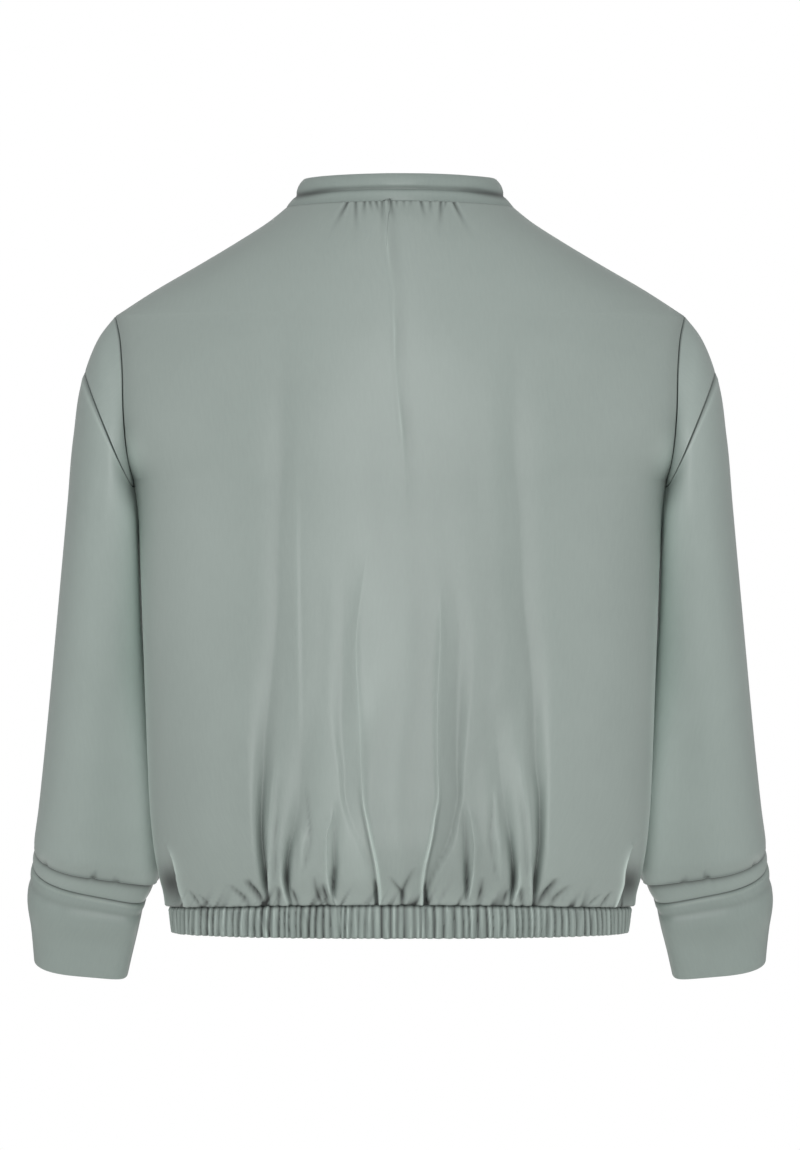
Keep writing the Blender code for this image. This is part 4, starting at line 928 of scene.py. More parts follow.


# The hollow at each side just above the band, outside its pressed rim: a trough of two bell curves, upright
# and across. Its painted shade starts at the rim and fades round the side, and the rim is a thin painted
# highlight.
def dentRelief(section, points):
    z = section["z"]
    relief, crease = np.zeros((2,) + points.shape[:2])
    upright = bell(z - dent["z"], dent["height"])[:, None]
    lit = (ramp(dent["rimTop"], -0.588, z) * ramp(hemZ, hemZ + 3 * mm, z))[:, None]
    for side in (-1, 1):
        rim = rowDistance(section, points, side * rimLine(z)) * side
        relief -= dent["depth"] * upright * bell(rim - dent["middle"], dent["width"])
        shade = ramp(0, 7 * mm, rim) * (1 - 0.6 * ramp(20 * mm, 60 * mm, rim))
        crease += dent["rimShine"] * lit * bell(rim, dent["rimWidth"], 1.6)
        crease -= dent["shade"] * upright * shade
    return relief, crease


# Distance from the first and from the last column, the sum of the reliefs, the cloth sunk along the upper
# seams, and painted light down the sides below the armhole, where the sleeve takes the light away.
def panelBase(section, points, layers, seams):
    z = section["z"]
    relief, shade = (sum(parts) for parts in zip(*layers))
    distances = [np.linalg.norm(points - points[:, column, None], axis=-1) for column in (0, -1)]
    high = ramp(armhole["bottom"] - 0.02, armhole["bottom"] + 0.03, z)[:, None]
    lower = ramp(*panel["sideShineFrom"], z)[:, None]
    for edge in (distances[column] for column in seams):
        relief = relief - panel["seamSink"] * np.exp(-edge / panel["seamSinkWidth"]) * high
        shade = shade + panel["sideShine"] * bell(edge, panel["sideShineWidth"]) * lower
    return relief, shade, distances, high


# The back: its columns follow the main folds, and the sum of all reliefs stands along its normals, fading
# out towards the edges, with the blouse over the band added. A broad soft painted shade lies beside its
# seams.
def makeBack():
    z = panelHeights()
    section = sectionAt(z, torsoRows, -1)
    names = ("main", "second", "third", "fourth")
    lines = [(rimLine, False)]
    lines += [(foldLine(backFolds["right " + which]), False) for which in names]
    lines += [(centreLine, True)]
    lines += [(foldLine(backFolds["left " + which]), False) for which in names[::-1]]
    lines += [(lambda z: -rimLine(z), False)]
    counts = (18, 40, 16, 20, 20, 16, 16, 20, 20, 16, 40, 18)
    start = section["edgeAngle"]
    points = sectionPoints(section, followFolds(section, lines, counts, start, math.pi - start))
    layers = (foldRelief(section, points, backFolds), fallRelief(section, points, backFalls),
              drapeRelief(section, points, 101, panel["drape"]["back"]),
              gatherRelief(section, points, neckGathers), hemRipples(section, points, 11),
              dentRelief(section, points), centreRelief(section, points))
    relief, shade, (edge, other), high = panelBase(section, points, layers, (0, 1))
    sink = np.exp(-edge / panel["seamSinkWidth"]) + np.exp(-other / panel["seamSinkWidth"])
    shade -= panel["seamShade"] * sink * (0.35 + 0.65 * high)
    free = ramp(0, 4 * mm, edge) * ramp(0, 4 * mm, other) * ramp(0, 2 * mm, z - hemZ)[:, None]
    return points + gridNormals(points) * (relief * free + blouse(z))[..., None], shade


# A front, made on the right side in both cases: like the back, but its relief also fades out at the zip.
def makeFront(side):
    z = panelHeights()
    section = sectionAt(z, torsoRows, 1)
    start = angleAt(section, np.full_like(z, zipEdge))
    lines = [(foldLine(frontFolds[which]), False) for which in ("second ridge", "third", "main", "outer")]
    lines += [(rimLine, False)]
    counts = (20, 16, 14, 16, 14, 20)
    points = sectionPoints(section, followFolds(section, lines, counts, start, section["edgeAngle"]))
    swell, drapeSeed, rippleSeed = (1.0, 131, 31) if side > 0 else (panel["leftFrontSwell"], 151, 57)
    layers = (foldRelief(section, points, frontFolds, swell),
              drapeRelief(section, points, drapeSeed, panel["drape"]["front"]),
              hemRipples(section, points, rippleSeed), dentRelief(section, points))
    relief, shade, (zipSide, edge) = panelBase(section, points, layers, (1,))[:3]
    free = ramp(0, 4 * mm, edge) * ramp(0, 9 * mm, zipSide) * ramp(0, 2 * mm, z - hemZ)[:, None]
    stand = relief * free + blouse(z) * ramp(0, 12 * mm, zipSide)
    return points + gridNormals(points) * stand[..., None], shade


# A panel on the body, all four of its edges rolled into their seams.
def finishPanel(name, grid, crease, flat, area):
    normals = gridNormals(grid)
    for axis, last in ((0, False), (0, True), (1, False), (1, True)):
        grid, normals = rollEdge(grid, normals, axis, last, panel["roll"])
    mesh = gridMesh(name + "_cloth", grid, crease=np.pad(crease, 3, mode="edge"))
    piece = addPiece(mesh, bodySatin, (name,))
    thicken(piece, panel["cloth"])


finishPanel("back", *makeBack(), (0.66, 0.70), 0.40)
print("back made")
finishPanel("front_right", *makeFront(1), (0.33, 0.68), 0.20)
leftGrid, leftCrease = makeFront(-1)
finishPanel("front_left", mirrored(leftGrid), leftCrease[:, ::-1], (0.33, 0.68), 0.20)
print("fronts made")


# Rings round the right sleeve: the outer and the inner point, how far it swells back and forward of them,
# and how much lower its back is than its front for each metre of depth.
headMiddle = ((0.2712, 0.001, -0.1200), (0.2391, -0.029, -0.2492), 0.0585, 0.08)
sleeveRings = (
    ((0.2833, 0.002, -0.1478), (0.2388, -0.028, -0.2515), 0.0620, 0.06),
    ((0.2938, 0.005, -0.2050), (0.2362, -0.020, -0.2690), 0.0680, 0.14),
    ((0.2993, 0.010, -0.2640), (0.2347, -0.008, -0.2910), 0.0730, 0.15),
    ((0.3065, 0.024, -0.3350), (0.2322, 0.012, -0.3450), 0.0750, 0.17),
    ((0.3128, 0.038, -0.3950), (0.2280, 0.030, -0.4050), 0.0745, 0.19),
    ((0.3182, 0.050, -0.4460), (0.2235, 0.045, -0.4560), 0.0730, 0.21),
    ((0.3242, 0.062, -0.5000), (0.2185, 0.058, -0.5120), 0.0700, 0.22),
    ((0.3297, 0.073, -0.5450), (0.2165, 0.069, -0.5620), 0.0670, 0.22),
    ((0.3335, 0.082, -0.5700), (0.2158, 0.080, -0.5830), 0.0635, 0.22),
    ((0.3341, 0.088, -0.5770), (0.2176, 0.088, -0.5935), 0.0600, 0.22),
)
stripRings = (
    ((0.3336, 0.089, -0.5812), (0.2240, 0.089, -0.5965), 0.0540, 0.22),
    ((0.3355, 0.094, -0.5935), (0.2310, 0.094, -0.6135), 0.0500, 0.22),
)
cuffRings = (
    ((0.3409, 0.099, -0.6250), (0.2365, 0.097, -0.6375), 0.0500, 0.23),
    ((0.3378, 0.105, -0.6520), (0.2415, 0.103, -0.6590), 0.0460, 0.24),
    ((0.3357, 0.111, -0.6820), (0.2485, 0.109, -0.6895), 0.0430, 0.24),
)
sleeve = {
    "columns": 132,
    "squareness": 2.5,
    "innerSquareness": 7.0,
    "tuck": 3.0 * mm,
    "armpitTuck": 2.0 * mm,
    "sag": 7.5 * mm,
    "recede": 24 * mm,
    # Heights over which each shape comes in and, where there are four, goes again.
    "squarer": (-0.245, -0.290),
    "besideBody": (-0.248, -0.256, -0.41, -0.47),
    "belowArmpit": (-0.262, -0.290),
    "receding": (-0.236, -0.250, -0.40, -0.50),
    "hanging": (-0.560, -0.580, -0.605, -0.650),
    "ease": 0.4 * mm,
    "headSwell": 1.0 * mm,
    "cloth": 0.9 * mm,
    "roll": 1.3 * mm,
    "hem": 40 * mm,
    "cuffThickness": 2.4 * mm,
}


# A ring of points from the outer one by way of the back: a squared ellipse, |x| ** n + |y| ** n = 1, drawn
# at even angles. Beside the body its inner back corner is squarer and recedes from behind, its inner line
# is tucked a little behind the body's edge, and just above the cuff its back sags.
def ringPoints(ring):
    outer, inner, halfDepth, tilt = np.array(ring[0]), np.array(ring[1]), ring[2], ring[3]
    turn = np.arange(sleeve["columns"]) * 2 * math.pi / sleeve["columns"]
    cosine, sine = np.cos(turn), np.sin(turn)
    squarer = ramp(*sleeve["squarer"], inner[2]) * (sleeve["innerSquareness"] - sleeve["squareness"])
    power = sleeve["squareness"] + np.where((cosine < 0) & (sine > 0), squarer, 0)
    radius = (np.abs(cosine) ** power + np.abs(sine) ** power) ** (-1 / power)
    out, back = radius * cosine, radius * sine
    points = (outer + inner) / 2 + out[:, None] * (outer - inner) / 2
    beside = between(sleeve["besideBody"], inner[2])
    tuck = sleeve["tuck"] + sleeve["armpitTuck"] * (1 - ramp(*sleeve["belowArmpit"], inner[2]))
    points[:, 0] -= tuck * beside * np.minimum(cosine, 0) ** 2 * ramp(0.5, -0.1, sine)
    receding = between(sleeve["receding"], inner[2])
    corner = np.maximum(-out, 0) ** 2 * np.maximum(back, 0)
    points[:, 1] += sleeve["recede"] * receding * corner - back * halfDepth
    hanging = between(sleeve["hanging"], outer[2])
    points[:, 2] -= back * halfDepth * tilt + np.maximum(back, 0) * sleeve["sag"] * hanging
    return points


# The armhole seam as a ring: down its back from the shoulder point, and up its front.
def armholeLoop():
    half = sleeve["columns"] // 2
    z = armholeMiddle + armholeReach * np.cos(np.linspace(0, math.pi, half + 1))
    edges = []
    for facing, order in ((-1, slice(None)), (1, slice(half - 1, 0, -1))):
        section = sectionAt(z, torsoRows, facing)
        edges.append(sectionPoints(section, section["edgeAngle"][:, None])[order, 0])
    return np.concatenate(edges)


# Mean distance travelled down a run of rings.
def ringSpacing(rings):
    return runAlong(rings).mean(axis=1)


# Soft marks on the sleeve: how far down it and how far round (0 is the outer line, 0.25 the back, 0.5 the
# inner line, 0.75 the front), its length and width in metres, its slant and its height in millimetres.
sleeveMarks = (
    (0.30, 0.30, 0.090, 0.012, 0.12, -0.8), (0.36, 0.20, 0.110, 0.016, -0.10, 0.7),
    (0.27, 0.62, 0.070, 0.010, 0.55, -2.6), (0.25, 0.68, 0.080, 0.010, 0.42, 2.2),
    (0.31, 0.72, 0.090, 0.012, -0.48, -2.4), (0.34, 0.80, 0.070, 0.012, -0.40, 1.9),
    (0.43, 0.44, 0.060, 0.010, 0.20, -1.2), (0.22, 0.46, 0.050, 0.010, 0.30, -1.4),
)
# Nicks that run up from the hanging edge: how far round, slant, and length, depth and width in millimetres.
sleeveNicks = (
    (0.245, 0.06, 11, 1.5, 1.8), (0.30, -0.05, 8, 1.0, 1.5), (0.395, 0.12, 12, 1.6, 1.8),
    (0.43, 0.08, 9, 1.1, 1.5), (0.12, 0.02, 9, 0.8, 2.0), (0.62, 0.1, 10, 1.4, 1.8),
    (0.71, -0.08, 12, 1.5, 1.9), (0.83, 0.05, 10, 1.1, 1.8), (0.55, 0.0, 9, 1.0, 1.8),
)
# The sleeve's cloth hangs over its lower strip in a soft fold. From the hanging edge the cloth goes round
# a small radius, up inside, round again and down into the strip: inward and downward steps in millimetres.
hangingFold = ((0.0, 0.0), (-0.35, 1.1), (-1.1, 1.7), (-1.9, 1.4), (-2.4, 0.2), (-2.6, -2.0), (-2.8, -4.2),
               (-3.5, -5.0), (-4.2, -4.4), (-4.5, -2.4), (-4.5, 0.0), (-4.3, 2.4))
# How the sleeve's marks, nicks, swell, seam lip, painted shades and painted lights, and the strip inside the
# fold are drawn.
armLook = {"markGirth": 0.325, "nickGirth": 0.36, "nickDepth": 1.5, "nickShade": 0.35, "swell": 1.1 * mm,
           "lip": 0.5 * mm, "lipShine": 0.20, "seamShade": 0.5, "edgeShade": 0.38, "innerShine": 0.95,
           "puff": 1.2 * mm, "stripLength": 17 * mm}


# The right sleeve and its shoulder inset share one run of rings, smooth from ring to ring, and the strip
# inside the hanging fold and the cuff share another.
def makeSleeve():
    upper = np.stack([armholeLoop()] + [ringPoints(ring) for ring in (headMiddle,) + sleeveRings])
    at = ringSpacing(upper)
    seam, hem = at[2], at[-1] - sleeve["hem"]
    headGrid = smoothThrough(at, upper, np.linspace(0, seam, 22))
    armAt = np.concatenate((np.linspace(seam, hem, 96), np.linspace(hem, at[-1], 27)[1:]))
    loopNormal = gridNormals(smoothThrough(at, upper, np.linspace(0, seam, 5)), closed=True)[0]
    headGrid[0] += unit(loopNormal + unit(headGrid[1] - headGrid[0])) * sleeve["ease"]
    lower = np.stack([ringPoints(ring) for ring in stripRings + cuffRings])
    lowerAt = ringSpacing(lower)
    stripGrid = smoothThrough(lowerAt, lower, np.linspace(0, lowerAt[1], 16))
    cuffGrid = smoothThrough(lowerAt, lower, np.linspace(lowerAt[1], lowerAt[-1], 60))
    return headGrid, smoothThrough(at, upper, armAt), stripGrid, cuffGrid, armAt


# Signed distance round the sleeve from a place on it, as a share of the whole way round.
def roundFrom(round01, turn):
    return (round01 - turn + 0.5) % 1 - 0.5


# Relief and crease value of the sleeve above its hanging edge: the marks and the nicks, a soft swell just
# above the edge, a lip along the diagonal seam with a painted highlight, painted shade in the nicks, along
# the seam and above the hanging edge, and painted light on the inner line beside the body.
def armRelief(armAt, round01):
    down, below = (armAt - armAt[0])[:, None], (armAt[-1] - armAt)[:, None]
    relief, crease = np.zeros((2, len(armAt), len(round01)))
    for place, turn, length, width, slant, height in sleeveMarks:
        across = roundFrom(round01, turn) * armLook["markGirth"] - slant * (down - place)
        relief += height * mm * bell(down - place, length) * bell(across, width)
    for turn, slant, length, depth, width in sleeveNicks:
        across = roundFrom(round01, turn) * armLook["nickGirth"] - 3 * slant * below
        tall = armLook["nickDepth"] * depth * mm * np.clip(1 - below / (length * mm), 0, 1) ** 1.3
        nick = tall * bell(across, width * mm, 1.6)
        relief -= nick
        crease -= armLook["nickShade"] * nick / mm
    fromOuter = np.minimum(round01, 1 - round01)
    relief += armLook["swell"] * (1 - bell(fromOuter, 0.07)) * bell(below - 14 * mm, 10 * mm)
    relief += armLook["lip"] * bell(down - 3.2 * mm, 2.2 * mm)
    crease += armLook["lipShine"] * bell(down - 4 * mm, 2.5 * mm)
    crease -= armLook["seamShade"] * bell(down, 1.0 * mm) + armLook["edgeShade"] * np.exp(-below / (1.8 * mm))
    beside = ramp(0.005, 0.05, down) * (1 - 0.4 * ramp(0.20, 0.30, down))
    crease += armLook["innerShine"] * beside * bell(round01 - 0.405, 0.06)
    return relief, crease


# The sleeve's cloth from the shoulder inset's seam to the cuff's: the arm with its relief, the hanging fold
# and the strip inside it.
def makeArmCloth(armGrid, stripGrid, armAt):
    columns = sleeve["columns"]
    round01 = np.arange(columns) / columns
    normals = gridNormals(armGrid, closed=True)
    relief, crease = armRelief(armAt, round01)
    arm = armGrid + normals * relief[..., None]
    # The hanging fold, uneven round the sleeve and with less slack on its outer line.
    inward = -unit(normals[-1])
    downward = unit(arm[-1] - arm[-3])
    uneven = 1 + 0.16 * lineNoise(5, round01 * 12, 1.0) + 0.08 * lineNoise(9, round01 * 40, 1.0)
    slack = uneven * (1 - 0.7 * bell(np.minimum(round01, 1 - round01), 0.06))
    profile = np.array(hangingFold) * mm
    steps = np.linspace(0, len(profile) - 1, 30)
    profile = smoothThrough(np.arange(len(profile)), profile, steps)[1:, :, None, None]
    fold = arm[-1] - inward * profile[:, 0] * slack[:, None]
    fold = fold + downward * profile[:, 1] * uneven[:, None]
    # The strip below joins the fold's inner end and eases onto its own rings.
    share = np.linspace(0, 1, len(stripGrid))[:, None, None]
    puff = gridNormals(stripGrid, closed=True) * armLook["puff"] * arch(share * 1.1 - 0.05)
    strip = stripGrid + (fold[-1] - stripGrid[0]) * (1 - share) ** 2.2 + puff
    # Painted shade in the crevice under the hanging fold, at the top of the strip inside it and at the cuff
    # seam.
    foldShade = np.repeat(-ramp(0, 5, np.arange(len(fold)))[:, None], columns, axis=1)
    fromFold = share[2:, :, 0] * armLook["stripLength"]
    toCuff = armLook["stripLength"] - fromFold
    stripShade = -bell(fromFold, 2.6 * mm, 1.5) - 0.5 * np.exp(-toCuff / (0.9 * mm))
    stripShade = np.repeat(stripShade, columns, axis=1)
    return np.concatenate((arm, fold, strip[2:])), np.concatenate((crease, foldShade, stripShade))


# The shoulder inset swells a little between its two seams, which get painted shade lines.
def makeHeadCloth(headGrid):
    share = np.linspace(0, 1, len(headGrid))[:, None]
    head = headGrid + gridNormals(headGrid, closed=True) * (sleeve["headSwell"] * arch(share))[..., None]
    shade = -0.45 * bell(share, 0.02) - 0.55 * bell(1 - share, 0.02)
    return head, np.repeat(shade, sleeve["columns"], axis=1)


# A ring-shaped cloth with its two ends rolled into their seams.
def rolledTube(grid, crease, lastRoll):
    grid, normals = rollEdge(grid, gridNormals(grid, closed=True), 0, False, sleeve["roll"])
    return rollEdge(grid, normals, 0, True, lastRoll)[0], np.pad(crease, ((3, 3), (0, 0)), mode="edge")


# Lays a tube of cloth on the right side, or mirrored on the left.
def placeTube(name, side, tube):
    grid, crease = tube if side == "right" else (mirrored(tube[0]), tube[1][:, ::-1])
    mesh = gridMesh(f"{name}_{side}_cloth", grid, closedColumns=True, crease=crease)
    piece = addPiece(mesh, sleeveSatin, (f"{name}_{side}",))
    thicken(piece, sleeve["cloth"])


# The end faces of a tube of cloth that is open round the body: quads between its outside and its inside.
def endFaces(rows, columns, first):
    order = list(range(first, rows)) + list(range(first))
    faces = []
    for column, flipped in ((0, False), (columns - 1, True)):
        ring = [row * columns + column for row in order]
        for k in range(rows // 2 - 1):
            quad = list(dict.fromkeys((ring[k], ring[k + 1], ring[rows - 2 - k], ring[rows - 1 - k])))
            faces.append(quad if flipped else quad[::-1])
    return faces


# A double layer of cloth as one closed tube: its outside rows, a half circle round the lower edge, its
# inside rows and a half circle round the upper edge.
def doubleCloth(name, outer, normals, thickness, closed, crease, inside=None):
    half = thickness / 2
    inner = outer - normals * thickness if inside is None else inside
    turn = np.linspace(0, math.pi, 7)[1:-1][:, None, None]
    downEnd, upEnd = unit(outer[-1] - outer[-2]), unit(outer[0] - outer[1])
    low = (outer[-1] + inner[-1]) / 2 + normals[-1] * half * np.cos(turn) + downEnd * half * np.sin(turn)
    high = (outer[0] + inner[0]) / 2 - normals[0] * half * np.cos(turn) + upEnd * half * np.sin(turn)
    loop = np.concatenate((outer, low, inner[::-1], high))
    bare = np.zeros(low.shape[:2])
    crease = np.concatenate((crease, bare + 0.5 * crease[-1], 0.5 * crease[::-1], bare + crease[0]))
    rows, columns = loop.shape[:2]
    ends = () if closed else endFaces(rows, columns, rows - len(low) // 2 - 1)
    mesh = gridMesh(name + "_cloth", loop, closed, closedRows=True, extraFaces=ends, crease=crease)
    return addPiece(mesh, bandSatin, (name,))


cuffLook = {"seamDip": 1.5 * mm, "band": 11 * mm, "bandDip": 0.8 * mm, "swell": 0.9 * mm, "dents": 0.7 * mm}


# The cuff: bell-shaped dips at its seam and below a soft band, then shallow broad dents from value noise,
# fading out at both ends as one arch of a sine.
def makeCuff(side, cuff):
    columns = cuff.shape[1]
    down = ringSpacing(cuff)[:, None]
    round01 = np.arange(columns) / columns
    if side == "left":
        round01 = (0.5 - round01) % 1
    wave = lineNoise(21, round01 * 6, 1.0) + 0.5 * lineNoise(22, round01 * 11 + down / 0.03, 1.0)
    relief = cuffLook["swell"] * bell(down - 6 * mm, 4.5 * mm) - cuffLook["seamDip"] * bell(down, 1.5 * mm)
    relief = relief - cuffLook["bandDip"] * bell(down - cuffLook["band"] - 3 * mm, 3.5 * mm)
    relief = relief + cuffLook["dents"] * wave * arch(down / down[-1])
    grid = cuff + gridNormals(cuff, closed=True) * relief[..., None]
    # Painted shade along the seam groove and below the soft band, and a faint painted highlight just below
    # the seam.
    crease = 0.22 * bell(down - 3 * mm, 1.3 * mm) - 0.6 * bell(down, 1.1 * mm)
    crease = np.repeat(crease - 0.10 * bell(down - cuffLook["band"] - 2 * mm, 3 * mm), columns, axis=1)
    normals = gridNormals(grid, closed=True)
    piece = doubleCloth(f"cuff_{side}", grid, normals, sleeve["cuffThickness"], True, crease)
    return grid, normals


headGrid, armGrid, stripGrid, cuffGrid, armAt = makeSleeve()
headTube = rolledTube(*makeHeadCloth(headGrid), sleeve["roll"])
armTube = rolledTube(*makeArmCloth(armGrid, stripGrid, armAt), 0.8 * sleeve["roll"])
for side in ("right", "left"):
    placeTube("sleeve_head", side, headTube)
    placeTube("sleeve", side, armTube)
cuffs = {"right": makeCuff("right", cuffGrid), "left": makeCuff("left", mirrored(cuffGrid))}
print("sleeves and cuffs made")


# Both halves of a band round the body: from the zip by way of the right side, the back and the left.
def bandGrid(rows, z, backColumns, frontColumns):
    front, back = sectionAt(z, rows, 1), sectionAt(z, rows, -1)
    start = angleAt(front, np.full_like(z, zipEdge))
    right = sectionPoints(front, start[:, None] * (1 - np.linspace(0, 1, frontColumns + 1)))
    middle = sectionPoints(back, np.linspace(0, math.pi, backColumns + 1)[None, :])
    return np.concatenate((right[:, :-1], middle, mirrored(right)[:, 1:]), axis=1)


collarLook = {"thickness": 2.4 * mm, "upperRoll": 1.7 * mm, "crease": 1.3 * mm, "lowerRoll": 0.6 * mm,
              "creaseAt": 0.44, "creaseWidth": 0.075, "sideDrop": 0.07, "flare": 0.85, "uneven": 0.25 * mm,
              "shade": 0.80, "footShade": 0.10}


# The collar: an upper and a lower roll, each an arch of a sine, with a crease between them. Towards the
# sides of the back it flattens so that its foot flares, and the crease lies lower and its painted shade gets
# darker. A fainter painted shade lies along the foot.
def makeCollar():
    look = collarLook
    z = np.linspace(collarRows[0][0], 0.0, 26)
    grid = bandGrid(collarRows, z, 190, 70)
    up = np.linspace(1, 0, len(z))[:, None]
    x = np.abs(grid[..., 0])
    back = ramp(0.02, -0.03, grid[..., 1])
    creaseAt = look["creaseAt"] - look["sideDrop"] * ramp(0.055, 0.092, x) * back
    relief = look["upperRoll"] * arch((up - creaseAt) / (1 - creaseAt)) ** 0.8
    relief += look["lowerRoll"] * arch(up / creaseAt)
    relief -= look["crease"] * bell(up - creaseAt, look["creaseWidth"])
    relief *= 1 - look["flare"] * ramp(0.060, 0.088, x) * back
    relief += look["uneven"] * lineNoise(41, runAlong(grid, 1), 16 * mm)
    grid = grid + gridNormals(grid) * (relief * ramp(0, 0.10, up) * ramp(0, 0.08, 1.02 - up))[..., None]
    ends = 0.45 + 0.55 * ramp(0.04, 0.085, x)
    crease = -look["shade"] * ends * bell(up - creaseAt, 0.06 + 0.07 * ends)
    crease -= look["footShade"] * ramp(0.5, 0.0, up / creaseAt)
    piece = doubleCloth("collar", grid, gridNormals(grid), look["thickness"], False, crease)


makeCollar()

bandLook = {"thickness": 2.4 * mm, "ridge": (2.0, 3.5), "spacing": (4.0, 9.2), "crest": 0.62, "lean": 32,
            "sway": 0.9 * mm, "fineRidge": 0.22 * mm, "inset": 0.8 * mm, "sideInset": 1.8 * mm,
            "scallop": 0.117, "shine": 1.2, "grain": 0.30}


# The hem band: elastic draws it into upright gathers. Valleys lie at uneven distances round it and each
# ridge between two valleys is a power of a sine, so its foot is sharp and its crest round. Each ridge has a
# painted highlight line of its own brightness, each valley a painted shade of its own depth, and a painted
# shade lies along the top edge.
def makeHemBand():
    look = bandLook
    z = np.linspace(hemZ, bandRows[-1][0], 15)
    grid = bandGrid(bandRows, z, 640, 330)
    normals = gridNormals(grid)
    arc = runAlong(grid, 1)
    length = arc[0, -1]
    arc = arc / arc[:, -1:] * length
    random = np.random.default_rng(7)
    gaps = random.uniform(*look["spacing"], 400) * mm
    valleys = np.cumsum(gaps) - gaps[0]
    valleys = valleys[valleys < length + 0.02]
    heights = random.uniform(*look["ridge"], len(valleys) + 2) * mm
    down = np.linspace(0, 1, len(z))[:, None]
    x = grid[..., 0]
    lean = look["lean"] * x * down * mm
    sway = look["sway"] * lineNoise(71, arc, 9 * mm) * (down - 0.5)
    place = np.interp(arc + lean * np.sign(-grid[..., 1]) + sway, valleys, np.arange(len(valleys)))
    cell = np.clip(np.floor(place).astype(int), 0, len(valleys) - 1)
    t = place - cell
    crest = np.abs(np.sin(math.pi * t))
    ridge = crest ** look["crest"] * heights[cell]
    ridge += look["fineRidge"] * np.sin(2 * math.pi * (2.3 * place + lineNoise(73, arc, 20 * mm)))
    bright, peak, dark = (random.uniform(*limits, len(valleys) + 2)[cell]
                          for limits in ((0.0, 1.0), (0.25, 0.7), (0.3, 1.0)))
    bright = bright * (0.6 + 0.4 * lineNoise(75, down + arc / (4 * mm), 0.35))
    crease = look["shine"] * bright * bell(t - peak, 0.09) - dark * (1 - crest) ** 1.3
    crease -= 0.5 * ramp(0.1, 0.0, down)
    grain = lineNoise(77, arc + 0.35 * lean, 1.7 * mm) * lineNoise(79, down + arc / (6 * mm), 0.5)
    crease += look["grain"] * grain
    ends = ramp(0, 6 * mm, arc) * ramp(0, 6 * mm, length - arc)
    inset = look["inset"] + look["sideInset"] * ramp(0.12, 0.19, np.abs(x)) * ramp(1.3, 0.2, down)
    outer = grid + normals * (ridge * ramp(-0.02, 0.12, down) * ends - inset)[..., None]
    inner = grid - normals * (look["thickness"] + inset)[..., None]
    scallop = look["scallop"] * (ridge - 0.9 * mm) * ramp(0.72, 1.0, down) * ends
    outer[..., 2] -= scallop
    inner[..., 2] -= scallop
    piece = doubleCloth("hem_band", outer, normals, look["thickness"], False, crease, inner)


makeHemBand()
print("collar and hem band made")


stitch = {"length": 2.6 * mm, "gap": 0.9 * mm, "radius": 0.22 * mm, "sides": 6, "sunk": 0.352 * mm,
          "cuffRow": 2, "cuffLift": 0.15 * mm}
# Rings of one stitch: place along it, radius, and how far it dips into the cloth.
stitchRings = ((-0.5, 0.25, 0.9), (-0.42, 0.8, 0.45), (-0.25, 1.0, 0.1), (0.0, 1.0, 0.0), (0.25, 1.0, 0.1),
               (0.42, 0.8, 0.45), (0.5, 0.25, 0.9))


# Stitches laid along a line: one small capsule, its ends dipping into the cloth, set at every stitch with
# its own direction and copied in one array.
def stitchRow(name, line, normals, lift):
    run = runAlong(line)
    count = int(run[-1] / (stitch["length"] + stitch["gap"]))
    centres = (np.arange(count) + 0.5) * run[-1] / count
    at = valuesAt(centres, run, line)
    forward = unit(valuesAt(centres + 0.5 * mm, run, line) - valuesAt(centres - 0.5 * mm, run, line))
    side = unit(np.cross(unit(valuesAt(centres, run, normals)), forward))
    out = np.cross(forward, side)
    along, size, sink = (column[:, None] for column in np.array(stitchRings).T)
    turn = np.arange(stitch["sides"]) * 2 * math.pi / stitch["sides"]
    size = size * stitch["radius"]
    local = np.stack((along * stitch["length"] + 0 * turn, size * np.cos(turn),
                      size * np.sin(turn) - sink * stitch["sunk"] + lift), axis=-1).reshape(1, -1, 3)
    points = (at[:, None] + forward[:, None] * local[..., :1] + side[:, None] * local[..., 1:2]
              + out[:, None] * local[..., 2:])
    mesh = blockCopies(name, points, len(stitchRings), stitch["sides"], [False] * count)
    mesh.shade_smooth()
    addPiece(mesh, sewing)


for side, grids in cuffs.items():
    line, out = (np.concatenate((row, row[:1])) for row in (grid[stitch["cuffRow"]] for grid in grids))
    stitchRow(f"cuff_stitches_{side}", line, out, stitch["cuffLift"])
print("stitches made")


zipLook = {
    "toothPitch": 2.1 * mm,
    "toothHeight": 1.25 * mm,
    "toothDepth": 2.3 * mm,
    "tapeDepth": 2.9 * mm,
    "tapeCloth": 0.8 * mm,
    "tapeAt": (zipEdge - 0.2 * mm, 6 * mm, 11 * mm, 16 * mm),
    "tapeBend": 0.20,          # metres: twice the radius that the tape curves away with
    "boxHeight": 9.3 * mm,
    "sliderTop": 11.9 * mm,
    "stitchAt": 9.5 * mm,
    "stitchDepth": 0.35 * mm,
}
acrossZip = np.array((1.0, 0.0, 0.0))


# The line of the zip from the collar's edge to the band's, and its outward direction.
def zipLine():
    rows = np.array(collarRows[:-1] + torsoRows + bandRows[1:])
    z = np.linspace(rows[0, 0], rows[-1, 0], 420)
    values = dict(zip(bodyFields, smoothThrough(rows[:, 0], rows, z).T))
    line = np.stack((np.zeros_like(z), values["frontY"], z - values["frontDrop"]), axis=-1)
    run = unit(np.gradient(line, axis=0))
    return line, np.stack((np.zeros_like(z), -run[:, 2], run[:, 1]), axis=-1)


# A tape on each side, bent back as the square of the distance from the middle.
def makeTapes(line, out):
    across = np.array(zipLook["tapeAt"])[None, :, None]
    depth = zipLook["tapeDepth"] + across ** 2 / zipLook["tapeBend"]
    tape = line[:, None] + acrossZip * across - out[:, None] * depth
    for side, shape in (("right", tape), ("left", mirrored(tape))):
        mesh = gridMesh(f"zip_tape_{side}_cloth", shape)
        piece = addPiece(mesh, tapeCloth, (f"zip_tape_{side}",))
        thicken(piece, zipLook["tapeCloth"])


